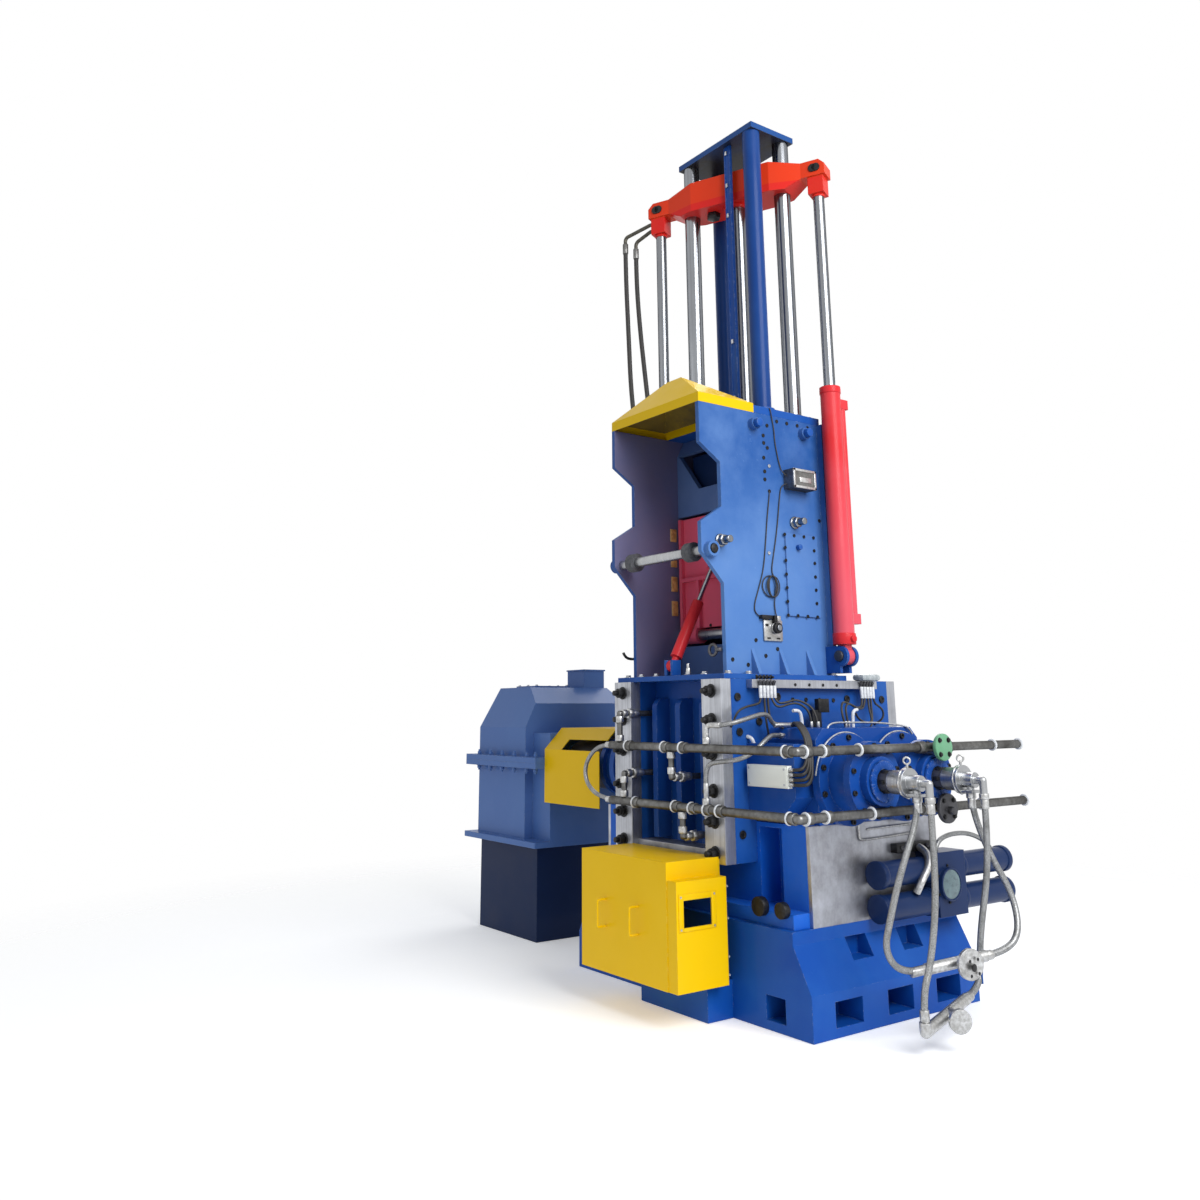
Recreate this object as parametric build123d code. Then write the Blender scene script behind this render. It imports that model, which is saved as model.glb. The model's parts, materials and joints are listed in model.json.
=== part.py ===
from build123d import *
import os
from math import atan2, degrees, hypot, radians, tan

# Internal mixer with hydraulic ram, in millimetres.
# X runs along the rotors, from the drive end (-X) to the water end (+X).
# -Y is the feed side, +Z is up, and the origin is on the floor under the chamber.

# General clearances and the share of a run that a hose's bend takes
cut_over = 20
running_gap = 0.3
pin_slack = 9
bend_share = 0.45

# Base frame
base_top_half_length = 906
base_spread = 114
base_margin = 158
base_band_height = 213
base_slope_height = 216
base_cap_height = 64
pocket_sill = 46
pocket_height = 120
pocket_depth = 170
end_pocket_width = 205
end_pocket_pitch = 402
slope_pocket_width = 160
slope_pocket_pitch = 410
slope_pocket_height = 105
side_pocket_width = 140
side_pocket_inset = 184

# Latch pedestal and its guard
pedestal_left = -130
pedestal_right = 442
pedestal_depth = 181
pedestal_height = 190
latch_guard_left = -330
latch_guard_right = 450
latch_guard_depth = 378
latch_guard_height = 630
guard_sheet = 5
window_box_reach = 75
window_box_depth = 350
window_box_height = 540
window_width = 193
window_height = 133
window_front_margin = 52
window_top_margin = 95

# Bed
bed_rise = 503
bed_margin = 83
bed_flange_reach = 120
bed_flange_thickness = 74
bed_face_thickness = 25
bed_recess_inset = 25
bed_recess_width = 170
bed_recess_depth = 150

# Mixing chamber
frame_outer_x = 505
frame_thickness = 168
frame_rise = 287
frame_height = 996
frame_margin = 127
tie_bar_thickness = 75
rotor_rise = 450
bore_radius = 220
bore_half_gap = 5
throat_inset = 25
chamber_wall_thickness = 100
wall_rib_reach = 105
wall_rib_thickness = 45
wall_rib_pitch = 223
wall_rib_foot = 78
wall_rib_head = 101
wall_rib_corner = 60
door_ridge_drop = 80
sill_reach = 155
sill_rise = 20
sill_thickness = 42

# Bearings
block_margin = 205
block_rise = 270
block_chamfer = 60
housing_flange_radius = 245
housing_flange_thickness = 50
housing_half_gap = 2
housing_drum_radius = 176
housing_drum_length = 130
housing_ring_radius = 205
housing_ring_thickness = 45
cover_radius = 127
cover_thickness = 49

# Rotors
rotor_root_radius = 120
rotor_tip_gap = 8
rotor_end_gap = 12
wing_half_width = 45
wing_tip_half_width = 22
wing_twist_angle = 70
journal_radius = 90
journal_room = 10
lock_nut_radius = 58
lock_nut_length = 70
spigot_radius = 25
spigot_length = 50
coupling_radius = 170
coupling_gap = 14
coupling_end_gap = 95

# Rotary joints
joint_radius = 61
joint_length = 80
joint_ring_radius = 75
joint_ring_thickness = 30
joint_tail_radius = 40
joint_tail_length = 70
joint_neck_length = 45
outlet_radius = 20
outlet_drop = 76
outlet_flange_half = 38
outlet_flange_thickness = 14
outlet_flange_drop = 52

# Hopper
cheek_outer_x = 442
cheek_thickness = 30
hopper_foot_thickness = 30
hopper_foot_front = 720
hopper_foot_back = 300
cheek_height = 1615
cheek_front = 640
cheek_back = 248
top_bump_reach = 160
top_bump_height = 253
top_bump_slope = 105
mid_bump_reach = 167
mid_bump_drop = 737
mid_bump_height = 177
mid_bump_upper_slope = 105
mid_bump_lower_slope = 177
back_wall_thickness = 28
gusset_thickness = 25
gusset_height = 150
water_gusset_shares = (-0.67, -0.31, 0.05)
drive_gusset_shares = (-0.67, -0.17, 0.14)
cover_plate_front = 123
cover_plate_back = 161
cover_plate_rise = 355
cover_plate_height = 514
cover_plate_thickness = 12
pin_boss_radius = 38
pin_boss_length = 40
pin_boss_front = 360
pin_boss_back = 83
pin_boss_drop = 80
front_panel_y = 262
front_panel_thickness = 40
front_panel_height = 541
front_panel_fold = 111
front_panel_lean = 60
low_panel_gap = 15
notch_top_half_width = 390
notch_foot_half_width = 192
notch_height = 258
back_flange_gap = 5

# Feed door
hinge_y = -254
hinge_rise = 274
hinge_shaft_radius = 35
hinge_shaft_end = 30
hub_radius = 55
hub_width = 120
hub_pitch = 540
door_side_gap = 12
door_thickness = 40
door_back_offset = 32
door_foot_rise = 45
door_top_gap = 20
door_rib_reach = 30
door_rib_thickness = 25
door_edge_share = 0.92
door_short_shares = (-0.5, 0.5)
door_middle_share = 0.42

# Feed door cylinder
cylinder_foot_y = -680
cylinder_foot_rise = 59
cylinder_head_y = -315
cylinder_head_rise = 450
feed_barrel_radius = 36
feed_barrel_start = 60
feed_barrel_share = 0.6
feed_rod_radius = 14
feed_rod_tail = 110
feed_eye_radius = 34
feed_eye_width = 40
feed_pin_radius = 12
feed_lug_thickness = 18
feed_lug_gap = 6

# Cross shaft with rollers
cross_shaft_inset = 62
cross_shaft_rise = 15
cross_shaft_radius = 30
cross_shaft_end = 25
cross_boss_radius = 46
cross_boss_length = 42
roller_radius = 58
roller_width = 62
roller_pitch = 560

# Dust hood
hood_skirt = 60
hood_height = 280
hood_sheet = 6
hood_ridge_half_width = 75
hood_ridge_setback = 180

# Ram tower
tower_plate_thickness = 50
tower_plate_front = 342
column_x = 317
column_y = 141
column_radius = 56
column_height = 2029
post_radius = 60
top_plate_end_margin = 9
top_plate_side_margin = 1
top_plate_thickness = 43
rail_x = 90
rail_y = -150
rail_width = 60
rail_thickness = 18

# Ram
beam_drop = 175
beam_height = 221
beam_tip_drop = 43
beam_arm_height = 158
beam_middle_half = 400
beam_arm_half = 510
beam_tail = 72
beam_tip_chamfer = 40
beam_waist_half = 300
beam_half_width = 130
beam_tip_half_width = 65
ram_rod_radius = 70
weight_half_length = 325
weight_half_depth = 190
weight_drop = 121
weight_height = 400
weight_ridge = 70

# Lift cylinders
lift_offset = 113
lift_barrel_radius = 65
lift_neck = 70
lift_barrel_length = 1667
lift_rod_radius = 38
lift_rod_tail = 300
lift_floor = 60
rod_block_width = 110
rod_block_height = 127
lift_eye_radius = 52
lift_eye_rise = 116
lift_eye_width = 60
lift_pin_radius = 26
lift_lug_thickness = 22
lift_lug_rise = 14
lift_lug_radius = 62
side_pipe_radius = 27
side_pipe_gap = 4
side_block_height = 64
side_block_drop = 73
side_block_rise = 130
side_block_reach = 12

# Ram hoses and the pipes that carry them
hose_pipe_radius = 14
ram_hose_radius = 17
outer_pipe_reach = 250
outer_pipe_drop = 16
outer_pipe_fall = 55
inner_pipe_reach = 160
inner_pipe_drop = 70
inner_pipe_fall = 62
pipe_stub = 30
pipe_elbow_drop = 60
hose_boss_width = 60
hose_boss_height = 70
hose_boss_reach = 80
outer_boss_y = -470
outer_boss_drop = 471
inner_boss_y = -385
inner_boss_drop = 421
outer_hose_from_top = [(0, 0, 250), (25, 0, 720), (58, -8, 1190)]
outer_hose_from_foot = [(-150, 30, 500), (0, 0, 180)]
inner_hose_from_top = [(0, 0, 250), (36, -3, 620), (104, -12, 1040)]
inner_hose_from_foot = [(-90, 22, 560), (0, 0, 200)]

# Cooling water pipes
header_radius = 24
header_offset = 103
header_gap = 15
header_tail = 70
header_back_y = 1050
supply_rise = 165
return_drop = 158
tee_y = 236
tee_reach = 50
tee_radius = 27
tee_flange_thickness = 18
supply_flange_radius = 72
return_flange_radius = 78
branch_radius = 17
branch_bar_gap = 22
branch_left_gap = 53
branch_right_gap = 45
supply_leg_rise = 190
supply_leg_drop = 165
return_leg_rise = 160
return_leg_drop = 156

# Water manifolds and hoses at the rotary joints
water_hose_radius = 17
manifold_radius = 28
upper_left_place = (-30, 10, -812)
upper_right_place = (70, -86, -777)
upper_neck_share = 0.58
upper_neck_run = (60, -17, 0)
upper_flange_radius = 74
lower_left_place = (70, -103, -1035)
lower_right_place = (30, -219, -966)
lower_neck_share = 0.5
lower_neck_run = (96, -53, -8)
lower_flange_radius = 56
manifold_flange_thickness = 18
lower_elbow_run = 56
lower_elbow_rise = 43
lead_in_run = 140
front_outlet_from_top = [(0, 0, 79), (-25, -143, 354), (-68, -187, 564)]
front_outlet_from_end = [(-24, -95, 110)]
rear_outlet_from_top = [(0, 0, 79), (5, 105, 304), (60, 200, 504)]
rear_outlet_from_end = [(10, 105, 85)]
front_elbow_from_top = [(0, 0, 258), (0, -20, 518), (-3, -85, 758)]
front_elbow_from_end = [(0, 0, 120)]
rear_elbow_from_top = [(0, 0, 178), (-35, 15, 418), (-80, -10, 658)]
rear_elbow_from_end = [(-29, 62, 120)]

# Discharge actuator
actuator_reach = 145
actuator_inset = 48
actuator_width = 250
actuator_drop = 18
actuator_height = 340
actuator_dial_radius = 88
actuator_dial_offset = 38
actuator_dial_thickness = 22
actuator_barrel_radius = 68
actuator_low_rise = 78
actuator_high_rise = 250
actuator_barrel_front = -90
actuator_barrel_back = 1050

# Electrical and lubrication pieces
bracket_length = 365
bracket_front_reach = 135
bracket_foot_gap = 24
bracket_height = 400
bracket_chamfer = 120
box_inset = 35
box_length = 310
box_rise = 170
box_height = 117
box_depth = 35
sensor_box_y = -5
sensor_box_drop = 404
sensor_box_width = 200
sensor_box_height = 123
sensor_box_depth = 85
lube_bar_front_inset = 122
lube_bar_back_inset = 152
lube_bar_drop = 51
lube_bar_height = 48
lube_bar_depth = 50

# Gearbox
gear_distance = 814
gear_block_length = 240
gear_block_half_width = 450
gear_block_rise = 210
gear_length = 700
gear_half_width = 520
gear_cover_height = 555
gear_shoulder_drop = 305
gear_shoulder_inset = 150
gear_front_drop = 125
gear_front_lean = 180
gear_far_lean = 60
gear_flange_reach = 60
gear_flange_tail = 110
gear_flange_thickness = 40
gear_foot_height = 640
gear_foot_inset = 60
gear_boss_radius = 130
gear_boss_length = 45
guard_side_room = 30
top_box_setback = 190
top_box_length = 240
top_box_front = 150
top_box_width = 200
top_box_height = 135
guard_drop = 275
guard_head_room = 5
guard_chamfer = 150
guard_end_gap = 74
guard_slot_length = 470
guard_slot_height = 70
input_shaft_radius = 55
input_shaft_length = 170
input_block_half_width = 120

# Places across the machine that follow from the sizes above
rotor_y = bore_radius + bore_half_gap
rotor_tip_radius = bore_radius - rotor_tip_gap
throat_half_depth = rotor_y - throat_inset
wall_front_y = rotor_y + bore_radius + chamber_wall_thickness
frame_half_width = wall_front_y + frame_margin
bar_front_y = frame_half_width + tie_bar_thickness
block_half_width = rotor_y + block_margin
bed_half_width = block_half_width + bed_margin
base_half_width = bed_half_width + base_margin
guard_half_width = rotor_y + housing_flange_radius + guard_side_room
door_back_y = hinge_y + door_back_offset
door_front_y = door_back_y - door_thickness
cross_shaft_y = cross_shaft_inset - cheek_front - mid_bump_reach
header_front_y = -bar_front_y - header_offset
actuator_y = bed_half_width - actuator_inset

# Places along the machine
base_half_length = base_top_half_length + base_spread
frame_inner_x = frame_outer_x - frame_thickness
housing_start = base_top_half_length
flange_end = housing_start + housing_flange_thickness
ring_start = flange_end + housing_drum_length
housing_end = ring_start + housing_ring_thickness
cover_end = housing_end + cover_thickness
nut_end = cover_end + lock_nut_length
joint_start = nut_end + running_gap
joint_ring_x = joint_start + joint_length
joint_tail_x = joint_ring_x + joint_ring_thickness
outlet_x = joint_tail_x + joint_tail_length / 2
elbow_x = joint_tail_x + joint_tail_length + joint_neck_length
cheek_inner_x = cheek_outer_x - cheek_thickness
lift_x = cheek_outer_x + lift_offset
back_flange_x = lift_x - lift_barrel_radius - back_flange_gap
lift_y = lift_x * column_y / column_x
header_end_x = housing_end + header_gap + header_radius
gear_near_x = -base_top_half_length - gear_distance
gear_face_x = gear_near_x - gear_block_length
gear_far_x = gear_face_x - gear_length
gear_tail_x = gear_far_x - gear_flange_tail

# Heights
base_shoulder_height = base_band_height + base_slope_height
base_height = base_shoulder_height + base_cap_height
bed_height = base_height + bed_rise
frame_bottom = base_height + frame_rise
chamber_top = frame_bottom + frame_height
rotor_height = frame_bottom + rotor_rise
block_top = rotor_height + block_rise
sill_bottom = frame_bottom + sill_rise
outlet_height = rotor_height - outlet_drop
foot_top = chamber_top + hopper_foot_thickness
hopper_top = foot_top + cheek_height
front_panel_bottom = hopper_top - front_panel_height
mid_bump_top = hopper_top - mid_bump_drop
mid_bump_bottom = mid_bump_top - mid_bump_height
cross_shaft_height = mid_bump_bottom + cross_shaft_rise
hinge_height = foot_top + hinge_rise
low_panel_top = hinge_height - hub_radius - low_panel_gap
door_bottom = hinge_height + door_foot_rise
door_top = front_panel_bottom - door_top_gap
cylinder_foot_height = foot_top + cylinder_foot_rise
cylinder_head_height = hinge_height + cylinder_head_rise
tower_base_top = hopper_top + tower_plate_thickness
column_top = tower_base_top + column_height
tower_top = column_top + top_plate_thickness
beam_top = column_top - beam_drop
beam_bottom = beam_top - beam_height
beam_tip_top = beam_top - beam_tip_drop
beam_arm_bottom = beam_top - beam_arm_height
rod_block_bottom = beam_arm_bottom - rod_block_height
weight_top = hopper_top - weight_drop
weight_bottom = weight_top - weight_height
lift_eye_height = foot_top + lift_eye_rise
lift_barrel_bottom = lift_eye_height + lift_neck
lift_barrel_top = lift_barrel_bottom + lift_barrel_length
supply_height = rotor_height + supply_rise
return_height = rotor_height - return_drop

# Lie of the crosshead and of the feed door cylinder
beam_angle = degrees(atan2(column_y, column_x))
lift_distance = hypot(lift_x, lift_y)
beam_half_length = lift_distance + beam_tail
feed_stroke_line = Vector(0, cylinder_head_y - cylinder_foot_y, cylinder_head_height - cylinder_foot_height)
feed_barrel_end = feed_barrel_share * feed_stroke_line.length


def slab(x0, x1, y0, y1, z0, z1):
    middle = ((x0 + x1) / 2, (y0 + y1) / 2, (z0 + z1) / 2)
    return Pos(*middle) * Box(x1 - x0, y1 - y0, z1 - z0)


def rod(start, end, radius):
    run = Vector(*end) - Vector(*start)
    seat = Plane(origin=start, z_dir=run)
    return seat * Cylinder(radius, run.length, align=(Align.CENTER, Align.CENTER, Align.MIN))


def plate_yz(points, x0, x1):
    face = Plane.YZ.offset(x0) * make_face(Polyline(*points, close=True))
    return extrude(face, amount=x1 - x0)


def plate_xz(points, y0, y1):
    seat = Plane(origin=(0, y1, 0), x_dir=(1, 0, 0), z_dir=(0, -1, 0))
    return extrude(seat * make_face(Polyline(*points, close=True)), amount=y1 - y0)


def plate_xy(points, z0, z1):
    return extrude(Plane.XY.offset(z0) * make_face(Polyline(*points, close=True)), amount=z1 - z0)


def other_end(shape):
    return mirror(shape, about=Plane.YZ)


def other_side(shape):
    return mirror(shape, about=Plane.XZ)


def at_both_ends(shape):
    return shape, other_end(shape)


def both_sides(points):
    return points + [(-a, b) for a, b in reversed(points)]


def save(node, *pieces):
    shape = pieces[0] if len(pieces) == 1 else Compound(children=list(pieces))
    export_step(shape, f"parts/{node}.step")


def base_frame():
    end_profile = [
        (base_half_length, 0),
        (base_half_length, base_band_height),
        (base_top_half_length, base_shoulder_height),
        (base_top_half_length, base_height),
    ]
    body = plate_xz(both_sides(end_profile), -base_half_width, base_half_width)
    low, high = pocket_sill, pocket_sill + pocket_height
    inner = base_half_length - pocket_depth
    outer = base_half_length + cut_over
    half = end_pocket_width / 2
    cuts = [slab(inner, outer, y - half, y + half, low, high)
            for y in (-end_pocket_pitch, 0, end_pocket_pitch)]
    half = slope_pocket_width / 2
    slope_low = base_shoulder_height - slope_pocket_height
    cuts += [slab(inner, outer, y - half, y + half, slope_low, base_shoulder_height)
             for y in (-slope_pocket_pitch / 2, slope_pocket_pitch / 2)]
    right = base_half_length - side_pocket_inset
    front = -base_half_width - cut_over
    side = slab(right - side_pocket_width, right, front, -base_half_width + pocket_depth, low, high)
    cuts += [side, other_side(side)]
    for cut in cuts:
        body -= cut
        body -= other_end(cut)
    return body


def latch_pedestal():
    front = -base_half_width - pedestal_depth
    return slab(pedestal_left, pedestal_right, front, -base_half_width, 0, pedestal_height)


def latch_guard():
    back = -bar_front_y
    front = back - latch_guard_depth
    top = pedestal_height + latch_guard_height
    box = slab(latch_guard_left, latch_guard_right, front, back, pedestal_height, top)
    box_right = latch_guard_right + window_box_reach
    box_back = front + guard_sheet + window_box_depth
    box_top = pedestal_height + window_box_height
    box += slab(latch_guard_right, box_right, front + guard_sheet, box_back, pedestal_height, box_top)
    box -= slab(latch_guard_left + guard_sheet, latch_guard_right - guard_sheet, front + guard_sheet,
                back + cut_over, pedestal_height + guard_sheet, top - guard_sheet)
    box -= slab(latch_guard_right - cut_over, box_right - guard_sheet, front + 2 * guard_sheet,
                box_back - guard_sheet, pedestal_height + guard_sheet, box_top - guard_sheet)
    window_y = front + window_front_margin
    window_z = box_top - window_top_margin
    box -= slab(box_right - cut_over, box_right + cut_over, window_y, window_y + window_width,
                window_z - window_height, window_z)
    return box


def bed_block():
    end_x = base_top_half_length - bed_face_thickness
    step = [
        (end_x, base_height),
        (end_x, bed_height),
        (frame_outer_x, bed_height),
        (frame_outer_x, frame_bottom),
    ]
    body = plate_xz(both_sides(step), -bed_half_width, bed_half_width)
    reach = bed_half_width + bed_flange_reach
    body += slab(-end_x, end_x, -reach, reach, base_height, base_height + bed_flange_thickness)
    left = frame_outer_x + bed_recess_inset
    recess = slab(left, left + bed_recess_width, -reach - cut_over, -bed_half_width + bed_recess_depth,
                  base_height + bed_flange_thickness, bed_height - bed_recess_inset)
    for cut in at_both_ends(recess):
        body -= cut
    return body


def bed_face():
    inner = base_top_half_length - bed_face_thickness
    return slab(inner, base_top_half_length, -bed_half_width, bed_half_width, base_height, bed_height)


def rotor_bores(x0, x1, radius):
    return [rod((x0, y, rotor_height), (x1, y, rotor_height), radius) for y in (-rotor_y, rotor_y)]


def end_frame():
    plate = slab(frame_inner_x, frame_outer_x, -frame_half_width, frame_half_width, frame_bottom, chamber_top)
    for bore in rotor_bores(0, cover_end, journal_radius + journal_room):
        plate -= bore
    return plate


def tie_bar():
    return slab(frame_inner_x, frame_outer_x, -bar_front_y, -frame_half_width, frame_bottom, chamber_top)


def wall_rib(x):
    half = wall_rib_thickness / 2
    tip = -wall_front_y - wall_rib_reach
    rib = slab(x - half, x + half, tip, -wall_front_y, frame_bottom + wall_rib_foot, chamber_top - wall_rib_head)
    corner = rib.edges().filter_by(Axis.X).sort_by(Axis.Z)[-2:].sort_by(Axis.Y)[0]
    return fillet(corner, wall_rib_corner)


def chamber_wall():
    wall = slab(-frame_inner_x, frame_inner_x, -wall_front_y, -throat_half_depth, frame_bottom, chamber_top)
    wall -= rotor_bores(-frame_outer_x, frame_outer_x, bore_radius)[0]
    for x in (-wall_rib_pitch, 0, wall_rib_pitch):
        wall += wall_rib(x)
    return wall


def drop_door():
    depth = throat_half_depth
    ridge_top = rotor_height - door_ridge_drop
    ridge = slab(-frame_inner_x, frame_inner_x, -depth, depth, frame_bottom, ridge_top)
    for bore in rotor_bores(-frame_outer_x, frame_outer_x, bore_radius):
        ridge -= bore
    return ridge


def sill_plate():
    tip = -wall_front_y - sill_reach
    return slab(-frame_inner_x, frame_inner_x, tip, -wall_front_y, sill_bottom, sill_bottom + sill_thickness)


def bearing_block():
    end_x = base_top_half_length
    half = [
        (block_half_width, bed_height),
        (block_half_width, block_top - block_chamfer),
        (block_half_width - block_chamfer, block_top),
    ]
    block = plate_yz(both_sides(half), frame_outer_x, end_x)
    for bore in rotor_bores(0, cover_end, journal_radius + journal_room):
        block -= bore
    return block


def bearing_housing():
    y, z = -rotor_y, rotor_height
    body = rod((housing_start, y, z), (flange_end, y, z), housing_flange_radius)
    body += rod((flange_end, y, z), (ring_start, y, z), housing_drum_radius)
    body += rod((ring_start, y, z), (housing_end, y, z), housing_ring_radius)
    body += rod((housing_end, y, z), (cover_end, y, z), cover_radius)
    reach = housing_flange_radius + cut_over
    body -= slab(housing_start - cut_over, cover_end + cut_over, -housing_half_gap, reach, z - reach, z + reach)
    return body - rotor_bores(0, cover_end + cut_over, journal_radius + running_gap)[0]


def rotor_wing(side, half_length):
    outline = [
        (-wing_half_width, 0),
        (-wing_tip_half_width, rotor_tip_radius),
        (wing_tip_half_width, rotor_tip_radius),
        (wing_half_width, 0),
    ]
    section = make_face(Polyline(*outline, close=True)).face()
    wing = Solid.extrude_linear_with_rotation(section, (0, 0, 0), (0, 0, 2 * half_length), side * wing_twist_angle)
    seat = Plane(origin=(-half_length, side * rotor_y, rotor_height), x_dir=(0, 1, 0), z_dir=(1, 0, 0))
    return seat * wing


def rotor(side):
    y, z = side * rotor_y, rotor_height
    body_end = frame_inner_x - rotor_end_gap
    coupling_near_x = -cover_end - coupling_gap
    boss_tip_x = gear_near_x + gear_boss_length
    wing = rotor_wing(side, body_end)
    shaft = rod((-body_end, y, z), (body_end, y, z), rotor_root_radius)
    shaft += [wing, wing.rotate(Axis((0, y, z), (1, 0, 0)), 180)]
    shaft += rod((boss_tip_x - gear_boss_length / 2, y, z), (cover_end, y, z), journal_radius)
    shaft += rod((cover_end, y, z), (nut_end, y, z), lock_nut_radius)
    shaft += rod((nut_end, y, z), (nut_end + spigot_length, y, z), spigot_radius)
    shaft += rod((boss_tip_x + coupling_end_gap, y, z), (coupling_near_x, y, z), coupling_radius)
    return shaft


def rotary_joint():
    y, z = -rotor_y, rotor_height
    tail_end = joint_tail_x + joint_tail_length
    body = rod((joint_start, y, z), (joint_ring_x, y, z), joint_radius)
    body += rod((joint_ring_x, y, z), (joint_tail_x, y, z), joint_ring_radius)
    body += rod((joint_tail_x, y, z), (tail_end, y, z), joint_tail_radius)
    body += rod((tail_end, y, z), (elbow_x, y, z), outlet_radius)
    body += Pos(elbow_x, y, z) * Sphere(outlet_radius)
    for x in (outlet_x, elbow_x):
        body += rod((x, y, z), (x, y, outlet_height), outlet_radius)
    half = outlet_flange_half
    flange_z = z - outlet_flange_drop
    flange_bottom = flange_z - outlet_flange_thickness
    body += slab(outlet_x - half, outlet_x + half, y - half, y + half, flange_bottom, flange_z)
    bore_end = joint_start + spigot_length
    return body - rod((joint_start - cut_over, y, z), (bore_end, y, z), spigot_radius + running_gap)


def cheek(gusset_shares):
    top_front = -cheek_front - top_bump_reach
    mid_front = -cheek_front - mid_bump_reach
    outline = [
        (cheek_back, foot_top),
        (cheek_back, hopper_top),
        (top_front, hopper_top),
        (top_front, hopper_top - top_bump_height),
        (-cheek_front, hopper_top - top_bump_height - top_bump_slope),
        (-cheek_front, mid_bump_top + mid_bump_upper_slope),
        (mid_front, mid_bump_top),
        (mid_front, mid_bump_bottom),
        (-cheek_front, mid_bump_bottom - mid_bump_lower_slope),
        (-cheek_front, foot_top),
    ]
    plate = plate_yz(outline, cheek_inner_x, cheek_outer_x)
    boss_end = cheek_outer_x + cross_boss_length
    plate += rod((cheek_outer_x, cross_shaft_y, cross_shaft_height), (boss_end, cross_shaft_y, cross_shaft_height),
                 cross_boss_radius)
    near, far = cheek_inner_x - cut_over, boss_end + cut_over
    plate -= rod((near, hinge_y, hinge_height), (far, hinge_y, hinge_height), hinge_shaft_radius + running_gap)
    plate -= rod((near, cross_shaft_y, cross_shaft_height), (far, cross_shaft_y, cross_shaft_height),
                 cross_shaft_radius)
    half = gusset_thickness / 2
    side = [(cheek_outer_x, foot_top), (frame_outer_x, foot_top), (cheek_outer_x, foot_top + gusset_height)]
    for share in gusset_shares:
        y = share * cheek_front
        plate += plate_xz(side, y - half, y + half)
    flange_front, flange_foot = cheek_back - back_wall_thickness, lift_eye_height + lift_eye_radius
    return plate + slab(cheek_outer_x, back_flange_x, flange_front, cheek_back, flange_foot, hopper_top)


def water_cheek():
    plate = cheek(water_gusset_shares)
    low = foot_top + cover_plate_rise
    plate += slab(cheek_outer_x, cheek_outer_x + cover_plate_thickness, -cover_plate_front, cover_plate_back,
                  low, low + cover_plate_height)
    z = hopper_top - pin_boss_drop
    for y in (-pin_boss_front, pin_boss_back):
        plate += rod((cheek_outer_x, y, z), (cheek_outer_x + pin_boss_length, y, z), pin_boss_radius)
    return plate


def drive_cheek():
    plate = other_end(cheek(drive_gusset_shares))
    half = hose_boss_width / 2
    for y, drop in ((outer_boss_y, outer_boss_drop), (inner_boss_y, inner_boss_drop)):
        top = hopper_top - drop
        tip = -cheek_outer_x - hose_boss_reach
        plate += slab(tip, -cheek_outer_x, y - half, y + half, top - hose_boss_height, top)
    return plate


def hopper_foot():
    plate = slab(-frame_outer_x, frame_outer_x, -hopper_foot_front, hopper_foot_back, chamber_top, foot_top)
    return plate - slab(-frame_inner_x, frame_inner_x, -throat_half_depth, throat_half_depth,
                        chamber_top - cut_over, foot_top + cut_over)


def back_wall():
    inner = cheek_back - back_wall_thickness
    return slab(-cheek_inner_x, cheek_inner_x, inner, cheek_back, foot_top, hopper_top)


def front_panel():
    back = -front_panel_y + front_panel_thickness
    fold = hopper_top - front_panel_fold
    outline = [
        (-front_panel_y, front_panel_bottom),
        (-front_panel_y, fold),
        (-front_panel_y + front_panel_lean, hopper_top),
        (back + front_panel_lean, hopper_top),
        (back, fold),
        (back, front_panel_bottom),
    ]
    notch = [
        (notch_foot_half_width, fold - notch_height),
        (notch_top_half_width, fold),
    ]
    panel = plate_yz(outline, -cheek_inner_x, cheek_inner_x)
    return panel - plate_xz(both_sides(notch), -front_panel_y - cut_over, back + cut_over)


def low_panel():
    back = -front_panel_y + front_panel_thickness
    return slab(-cheek_inner_x, cheek_inner_x, -front_panel_y, back, foot_top, low_panel_top)


def feed_door():
    half_x = cheek_inner_x - door_side_gap
    panel = slab(-half_x, half_x, door_front_y, door_back_y, door_bottom, door_top)
    half = door_rib_thickness / 2
    tip = door_front_y - door_rib_reach
    middle = door_bottom + door_middle_share * (door_top - door_bottom)
    edge = door_edge_share * half_x
    for x in (-edge, edge):
        panel += slab(x - half, x + half, tip, door_front_y, door_bottom, door_top)
    for share in door_short_shares:
        x = share * half_x
        panel += slab(x - half, x + half, tip, door_front_y, door_bottom, middle)
    panel += slab(-edge, edge, tip, door_front_y, middle, middle + door_rib_thickness)
    for x in (-hub_pitch / 2, hub_pitch / 2):
        left, right = x - hub_width / 2, x + hub_width / 2
        panel += rod((left, hinge_y, hinge_height), (right, hinge_y, hinge_height), hub_radius)
        panel += slab(left, right, door_front_y, door_back_y, hinge_height, door_bottom)
    panel -= rod((-cheek_outer_x, hinge_y, hinge_height), (cheek_outer_x, hinge_y, hinge_height),
                 hinge_shaft_radius)
    inner = feed_eye_width / 2 + feed_lug_gap
    lug_half = feed_eye_radius
    for left in (-inner - feed_lug_thickness, inner):
        panel += slab(left, left + feed_lug_thickness, cylinder_head_y - lug_half, door_front_y,
                      cylinder_head_height - lug_half, cylinder_head_height + lug_half)
    reach = inner + feed_lug_thickness
    panel += rod((-reach, cylinder_head_y, cylinder_head_height), (reach, cylinder_head_y, cylinder_head_height),
                 feed_pin_radius)
    return panel


def hinge_shaft():
    reach = cheek_outer_x + hinge_shaft_end
    return rod((-reach, hinge_y, hinge_height), (reach, hinge_y, hinge_height), hinge_shaft_radius)


def feed_axis(distance):
    place = Vector(0, cylinder_foot_y, cylinder_foot_height) + feed_stroke_line.normalized() * distance
    return tuple(place)


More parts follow.
